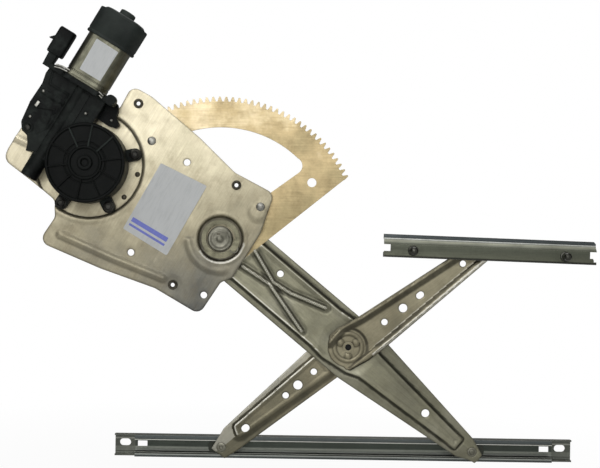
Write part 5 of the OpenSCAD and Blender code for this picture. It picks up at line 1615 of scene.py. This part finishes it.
@dataclass
class PlugSocket:
    """Socket beside the motor with rounded shell, narrower neck and a pointed latch."""

    motor: Motor
    middle: float = -43.2
    width: float = 18.0
    depth: float = 14.0
    wall: float = 1.8
    corner: float = 3.2
    latch: tuple = ((97.6, -51.6), (91.6, -57.2), (91.0, -56.8), (91.6, -51.6))

    def ring(self, t: float, inset: float, shift: float = 0.0, narrow: float = 0.0) -> list[Vector]:
        """Give one rounded section of the shell.

        Args:
            t: Distance along the motor.
            inset: How far the section is drawn in.
            shift: How far it stands to the right side.
            narrow: What comes off each side.

        Returns:
            Places round the section, in metres.
        """
        half, deep = self.width / 2 - inset - narrow, self.depth / 2 - inset
        corners = [(-half, -deep), (half, -deep), (half, deep), (-half, deep)]
        fillet = max(0.6, self.corner - inset)
        outline = filleted([(s, y, fillet) for s, y in corners], 5)
        return [self.motor.place(t, self.middle + shift + s, self.motor.foot[1] + y) for s, y in outline]

    def build(self) -> None:
        """Build the socket in place of its CAD node."""
        bm = bmesh.new()
        shell = [(78.0, 1.6), (78.8, 0.5), (80.5, 0.1), (92.0, 0.0), (105.6, 0.0), (107.3, 0.6), (108.0, 1.5),
                 (107.6, self.wall), (89.0, self.wall)]
        loft(bm, [self.ring(t, inset) for t, inset in shell])
        neck = [(63.8, 2.4), (70.0, 2.0), (76.0, 1.6), (79.5, 1.6)]
        loft(bm, [self.ring(t, inset, -0.6, 2.2) for t, inset in neck])
        slab(bm, self.motor.outline(self.latch), -17.5, -13.0)
        new_piece("plug_shell", bm, Finish.HOUSING, Body.BASE, "connector_socket")


@dataclass
class CaseLid:
    """Lid of the electronics: stepped face with ribs, a screw ear and pockets; sizes in millimetres."""

    front: float = -25.6
    outline: tuple = (
        (-174.2, 178.2, 3), (-181.0, 168.5, 5), (-184.4, 158.0, 3), (-197.0, 138.5, 3), (-204.4, 119.0, 5),
        (-202.5, 107.0, 6), (-194.0, 99.6, 6), (-184.4, 97.6, 4), (-178.6, 106.0, 3), (-143.2, 165.6, 3),
    )
    body: tuple = (
        (-173.8, 173.6, 3), (-180.4, 167.0, 5), (-184.0, 157.0, 3), (-197.0, 137.5, 3), (-205.4, 118.0, 5),
        (-204.6, 109.0, 4), (-199.4, 104.0, 2), (-198.6, 96.0, 2), (-200.4, 87.5, 1), (-189.0, 87.5, 1),
        (-178.0, 106.0, 1), (-144.0, 163.0, 2),
    )
    wall: float = 0.93
    ribs: tuple = (
        ((-172.0, 174.0), (-176.5, 157.0), (-157.0, 146.0)),
        ((-157.0, 146.0), (-177.5, 112.0), (-190.0, 106.0)),
        ((-190.5, 133.0), (-171.0, 130.5), (-178.5, 112.0)),
    )
    pockets: tuple = ((-179.5, 121.0, 3.6), (-166.5, 134.6, 2.8), (-167.0, 160.0, 4.6))
    ear: tuple = (-197.7, 112.0)
    screw: tuple = ((0, 0), (4.0, 0), (4.0, 2.4), (3.2, 3.2), (0, 3.4))
    clip: tuple = ((-191.6, 134.6), (-188.0, 139.4), (-185.8, 137.8), (-189.4, 133.0))
    bracket: tuple = (
        (-127.0, 138.0, 4), (-108.4, 140.6, 4), (-108.0, 131.0, 3), (-110.4, 124.4, 3), (-106.6, 117.4, 2),
        (-110.0, 113.6, 2), (-118.6, 116.0, 3), (-128.0, 122.0, 3),
    )

    def relief(self, p: Array) -> Array:
        """Give the depth of the lid's front face.

        Args:
            p: Points in the plane of the linkage, one row each.

        Returns:
            Depths in millimetres.
        """
        depth = self.front + 0.9 * eased(segment_distance(p, (-184.0, 150.0), (-150.0, 129.0)), 2.0, 3.4)
        for rib in self.ribs:
            depth = depth - 0.8 * bump(line_distance(p, rib), 0.5, 1.7)
        for x, z, radius in self.pockets:
            depth = depth + 0.9 * bump(np.hypot(p[:, 0] - x, p[:, 1] - z), radius - 0.8, radius + 0.4)
        around = np.hypot(*(p - self.ear).T)
        depth -= 1.4 * bump(around, 4.6, 5.8) - 0.9 * bump(around, 2.4, 3.2)
        return depth + 0.9 * bump(-outline_distance(p, filleted(self.outline)), 0.0, 1.6)

    def build(self) -> None:
        """Build the lid, the case behind it, and the screws, clip and bracket beside it."""
        PressedSheet("case_lid", Finish.HOUSING, Body.BASE, (), [filleted(self.outline)], [], self.relief,
                     thickness=1.6, step=0.9).build()
        bm = bmesh.new()
        outer = filleted(self.body, 4)
        inner = outer.mean(axis=0) + (outer - outer.mean(axis=0)) * self.wall
        slab(bm, outer, -24.8, -2.5)
        slab(bm, inner, -22.6, -4.4)
        new_piece("case_body", bm, Finish.HOUSING, Body.BASE, "electronics_case")
        bm, motor = bmesh.new(), Motor()
        for side in (-32.0, 32.0):
            start = len(bm.verts)
            revolve(bm, self.screw, 24)
            bm.verts.ensure_lookup_table()
            spot = Matrix.Translation(motor.place(69.0, side, motor.foot[1]))
            lie = spot @ Matrix.Rotation(math.radians(30.7), 4, "Y")
            bmesh.ops.transform(bm, matrix=lie @ Matrix.Rotation(math.radians(90), 4, "X"), verts=bm.verts[start:])
        new_piece("flange_screws", bm, Finish.BRIGHT, Body.BASE, "case_screws")
        flat_piece("side_clip", self.clip, -26.6, -25.4, Finish.BRIGHT)
        # moulded bracket of the gear case at the motor's right side
        flat_piece("case_bracket", filleted(self.bracket, 5), -8.0, 0.4, Finish.HOUSING)


@dataclass
class GearCover:
    """Round cover over the worm wheel: turned disc with rings and a hub, and moulded radial ribs."""

    face: float = -27.5
    top: float = -29.45
    ribs: int = 10
    # how many upper ribs are painted pale as a highlight
    worn_and_lit: int = 3
    first_deg: float = 43.0
    inner: float = 17.0
    outer: float = 39.0

    half_rib: float = 0.9

    def rib(self) -> BObject:
        """Build one radial rib with a rounded crest.

        Returns:
            The rib, on no body.
        """
        bm = bmesh.new()
        side = [(self.half_rib, self.face), (0.75, self.top + 0.4), (0.4, self.top)]
        section = [(-z, y) for z, y in side] + side[::-1]
        rings = [[Vector((r * MM, y * MM, z * MM)) for z, y in section] for r in (self.inner, self.outer)]
        loft(bm, rings)
        return new_piece("cover_rib", bm, Finish.HOUSING)

    def build(self) -> None:
        """Build the cover in place of its CAD node."""
        f = self.face
        profile = ((0, f), (3.4, f), (3.9, f - 1.9), (4.5, f - 2.55), (6.9, f - 2.6), (7.6, f - 2.1), (8.1, f),
                   (14.4, f), (14.9, f - 1.5), (15.4, f - 1.95), (16.9, f - 1.95), (17.5, f - 1.4), (17.9, f),
                   (20.2, f), (20.6, f + 0.8), (21.8, f + 0.8), (22.2, f), (37.6, f), (38.2, f - 1.4),
                   (38.8, f - 1.9), (40.3, f - 1.9), (41.1, f - 1.3), (41.45, f), (41.5, f + 1.9), (0, f + 1.9))
        bm = bmesh.new()
        revolve(bm, profile, 96, PINION_AT)
        new_piece("cover_disc", bm, Finish.COVER, Body.BASE, "gear_cover")
        # the upper ribs take the cap's paler finish as a painted highlight
        step = 360 / self.ribs
        groups = (("worn_ribs", Finish.CAP, 0, self.worn_and_lit),
                  ("cover_ribs", Finish.COVER, self.worn_and_lit, self.ribs - self.worn_and_lit))
        for name, finish, first, count in groups:
            part = self.rib()
            part.data.transform(Matrix.Rotation(-math.radians(self.first_deg + first * step), 4, "Y"))
            places = ((*PINION_AT, 0.0),) * count
            Repeat(name, finish, Body.BASE, (), places, step_deg=-step, jitter_deg=0.0).build(part)


@dataclass
class Pivot:
    """Main pivot: domed head with a small slot, and the wound counterbalance spring round it."""

    head: float = 13.4
    spring_inner: float = 14.9
    spring_outer: float = 20.3
    turns: float = 3.4
    strip: float = 1.5
    width: float = 4.4
    slot_at: tuple[float, float] = (-1.6, 4.9)
    slot_half: tuple[float, float] = (1.9, 0.8)
    # the hook's way by radius and angle, its depth and its wire's radius
    hook: tuple = (
        (20.6, -26.0), (21.6, -32.0), (21.9, -38.0), (21.0, -44.0), (18.8, -48.5), (16.6, -50.0), (15.6, -46.0),
    )
    hook_depth: float = -1.6
    hook_radius: float = 1.0

    def build(self) -> None:
        """Build the pivot's head and the spring in place of their CAD nodes."""
        bm = bmesh.new()
        profile = ((0, -6.3), (2.0, -6.2), (3.0, -5.8), (3.8, -5.2), (5.0, -5.1), (7.2, -5.0), (7.8, -5.3), (9.0, -5.3),
                   (9.6, -4.9), (11.2, -4.5), (11.7, -4.6), (12.6, -4.2), (13.2, -3.3), (self.head, -2.4), (8.0, -2.4),
                   (8.0, 5.5), (7.0, 5.5), (7.0, 10.5), (11.0, 10.5), (10.8, 11.3), (9.6, 11.5), (0, 11.5))
        revolve(bm, profile, 64)
        new_piece("pivot_head", bm, Finish.PIVOT, Body.LIFT, "pivot_pin")
        # a dark disc in the bore of the centre joint's rivet paints the shade inside it
        flat_piece("bore_grease", disc(CENTRE_AT, 3.25, 24), 3.0, 5.0, Finish.RUBBER, Body.EQUALIZER)
        # the slot isn't cut; a thin dark slab on the head paints its shade
        (x, z), (wide, high) = self.slot_at, self.slot_half
        slot = [(x - wide, z - high), (x + wide, z - high), (x + wide, z + high), (x - wide, z + high)]
        flat_piece("pivot_slot", slot, -5.25, -4.9, Finish.DARK, Body.LIFT)
        values = {
            "Turns": self.turns,
            "Inner radius": self.spring_inner * MM,
            "Outer radius": self.spring_outer * MM,
            "Strip width": self.width * MM,
            "Strip thickness": self.strip * MM,
            "Finish": Finish.SPRING.material(),
        }
        piece = grown("spring_strip", [(0, 0, 0)], strip_tree(), values)
        piece.data.shade_flat()
        fitted(piece, Body.BASE, "counterbalance_spring")
        # the outer end curls back at the lower right before it drops into the anchor slot
        bm = bmesh.new()
        deep = Vector((0, self.hook_depth * MM, 0))
        wire(bm, [Vector((*polar(r * MM, a), 0)).xzy + deep for r, a in self.hook], self.hook_radius)
        new_piece("spring_hook", bm, Finish.PIVOT, Body.BASE)


@dataclass
class PlateSticker:
    """Bare silvered sticker on the plate with a few plain blue bars."""

    corners: tuple = ((-63.5, 78.5, 1.5), (-14.8, 55.1, 1.5), (-56.1, -18.5, 1.5), (-102.3, 9.2, 1.5))
    bars: tuple = ((0.80, 0.86, 0.06, 0.86), (0.89, 0.92, 0.06, 0.86))
    lift: float = 0.45

    def inner(self, down: float, across: float) -> tuple[float, float]:
        """Give a place on the sticker by its shares from the top edge down and from left to right."""
        a, b, c, d = (Vector(corner[:2]) for corner in self.corners)
        return tuple(a.lerp(b, across).lerp(d.lerp(c, across), down))

    def build(self) -> None:
        """Lay the sticker and its bars on the plate."""
        flat_piece("plate_sticker", filleted(self.corners, 5), -self.lift, 0.2, Finish.LABEL)
        bm = bmesh.new()
        for top, foot, left, right in self.bars:
            slab(bm, [self.inner(d, a) for d, a in ((top, left), (top, right), (foot, right), (foot, left))],
                 -self.lift - 0.05, -self.lift + 0.1)
        new_piece("sticker_bars", bm, Finish.LABEL_BLUE, Body.BASE)


@dataclass(frozen=True)
class SliderPin:
    """Headed pin at the end of an arm, turned in one piece; sizes in millimetres."""

    name: str
    node: str
    body: Body
    at: tuple[float, float]
    face: float
    hollow: float = 0.0
    finish: Finish = Finish.BRIGHT
    head: float = 6.0

    def build(self) -> None:
        """Build the pin in place of its CAD node."""
        f, h, r = self.face, self.hollow, self.head
        crown = [(0, f - 1.2), (1.6, f - 1.1), (2.7, f - 0.8), (3.1, f - 0.4)]
        if h:
            crown = [(0, f + 0.4), (h, f + 0.2), (h + 0.5, f - 1.0), (3.4, f - 1.05)]
        profile = (*crown, (r - 1.8, f - 0.6), (r - 0.7, f - 0.65), (r - 0.1, f - 0.3), (r, f), (4.5, f),
                   (4.5, f + 2.0), (5.7, f + 2.0), (5.7, 16.7), (3.5, 16.7), (3.5, 26.4), (0, 26.4))
        bm = bmesh.new()
        revolve(bm, profile, 40, self.at)
        new_piece(self.name, bm, self.finish, self.body, self.node)


# ---------------------------------------------------------------- studio


@dataclass
class Studio:
    """Camera, pale floor, soft lamps and world."""

    distance: float = 1.3
    aim: tuple[float, float] = (0.0836, 0.0062)
    view_deg: float = 27.24
    roll_deg: float = 0.87
    floor_drop: float = 0.024
    floor_half: float = 6.0
    fade: tuple[float, float] = (0.3, 0.7)
    dimmest: float = 0.15
    target: tuple[float, float, float] = (0.08, 0.0, 0.0)
    # for each softbox its name, place, size and watts
    lamps: tuple = (
        ("front_softbox", (-0.15, -2.1, 0.55), 1.5, 16.0), ("top_softbox", (0.1, -0.3, 1.5), 1.6, 9.0),
        ("key_softbox", (-0.75, -1.15, 0.95), 0.8, 4.0), ("fill_softbox", (1.05, -1.0, 0.35), 0.9, 1.8),
        ("rim_softbox", (0.2, 0.9, 1.0), 0.8, 5.0),
    )

    def camera(self) -> None:
        """Place the camera straight in front of the plate, rolled as the photograph is."""
        data = bpy.data.cameras.new("photo_camera")
        data.sensor_fit = "HORIZONTAL"
        data.angle = math.radians(self.view_deg)
        data.clip_end = 50.0
        camera = linked("photo_camera", data)
        place = Matrix.Translation((self.aim[0], -self.distance, self.aim[1]))
        level = place @ Matrix.Rotation(math.radians(90), 4, "X")
        camera.matrix_world = level @ Matrix.Rotation(math.radians(self.roll_deg), 4, "Z")
        bpy.context.scene.camera = camera

    def floor(self) -> None:
        """Lay a pale floor just under the object; its camera colour is nearly white and keeps a faint shadow."""
        s = Surface("pale_floor")
        fill(s.shader, "Base Color", linear("#e6e6e4"))
        fill(s.shader, "Roughness", 0.8)
        glow = s.add("Emission", grey(1.0), 1.0)
        far = s.add("VectorMath", s.place, operation="LENGTH").outputs["Value"]
        fade = s.add("MapRange", far, 0.93, 1.0, *self.fade)
        seen = s.add("Math", s.add("LightPath").outputs["Is Camera Ray"], fade, **MULTIPLY)
        s.add("OutputMaterial", s.add("MixShader", seen, s.shader, glow), is_active_output=True)
        bm = bmesh.new()
        low, half = CAD_BOX[0][2] - self.floor_drop, self.floor_half
        corners = (-half, -half), (half, -half), (half, half), (-half, half)
        bm.faces.new([bm.verts.new((x, y, low)) for x, y in corners])
        mesh = bpy.data.meshes.new("floor")
        bm.to_mesh(mesh)
        bm.free()
        mesh.materials.append(s.material)
        linked("floor", mesh)

    def lamp(self, name: str, at: tuple, size: float, watts: float) -> None:
        """Hang one square softbox that faces the target.

        Args:
            name: Name of the lamp.
            at: Place in metres.
            size: Side of the softbox in metres.
            watts: Power of the lamp.
        """
        data = bpy.data.lights.new(name, "AREA")
        data.shape, data.size, data.energy = "SQUARE", size, watts
        way = Vector(self.target) - Vector(at)
        linked(name, data).matrix_world = Matrix.Translation(at) @ way.to_track_quat("-Z", "Y").to_matrix().to_4x4()

    def world(self) -> None:
        """Fill the room with dim plain light that camera and transmission rays see as pale."""
        world = bpy.data.worlds.new("studio")
        bpy.context.scene.world = world
        world.use_nodes = True
        tree = world.node_tree
        tree.nodes.clear()
        rays = add_node(tree, "ShaderNodeLightPath").outputs
        seen = add_node(tree, "ShaderNodeMath", rays["Is Camera Ray"], rays["Is Transmission Ray"], operation="MAXIMUM")
        strength = add_node(tree, "ShaderNodeMapRange", seen, self.dimmest, 1.0)
        add_node(tree, "ShaderNodeOutputWorld", add_node(tree, "ShaderNodeBackground", grey(1.0), strength))

    def build(self) -> None:
        """Set up the whole studio."""
        self.camera()
        self.floor()
        self.world()
        for lamp in self.lamps:
            self.lamp(*lamp)
        bpy.context.scene.view_settings.view_transform = "Standard"
        log.info("studio: camera at %.2f m, %d softboxes", self.distance, len(self.lamps))


def main() -> None:
    """Build the studio, dress the CAD nodes and make each sub-assembly in order."""
    logging.basicConfig(level=logging.INFO, format="%(message)s")
    Studio().build()
    dress_cad_nodes()
    for part in (BasePlate(), LiftArm(), FrontArm(), RearArm(), Motor(), PlugSocket(Motor()), CaseLid(),
                 GearCover(), Pivot(), PlateSticker(), *REPEATS):
        part.build()
    SliderPin("lift_pin", "lift_slider_pin", Body.LIFT, (268.834, -221.610), 8.5, 0.0, Finish.PIVOT, 5.0).build()
    SliderPin("rear_pin", "rear_slider_pin", Body.EQUALIZER, (3.395, -221.610), 14.0, 1.6, Finish.PIVOT, 5.0).build()


if __name__ == "__main__":
    main()
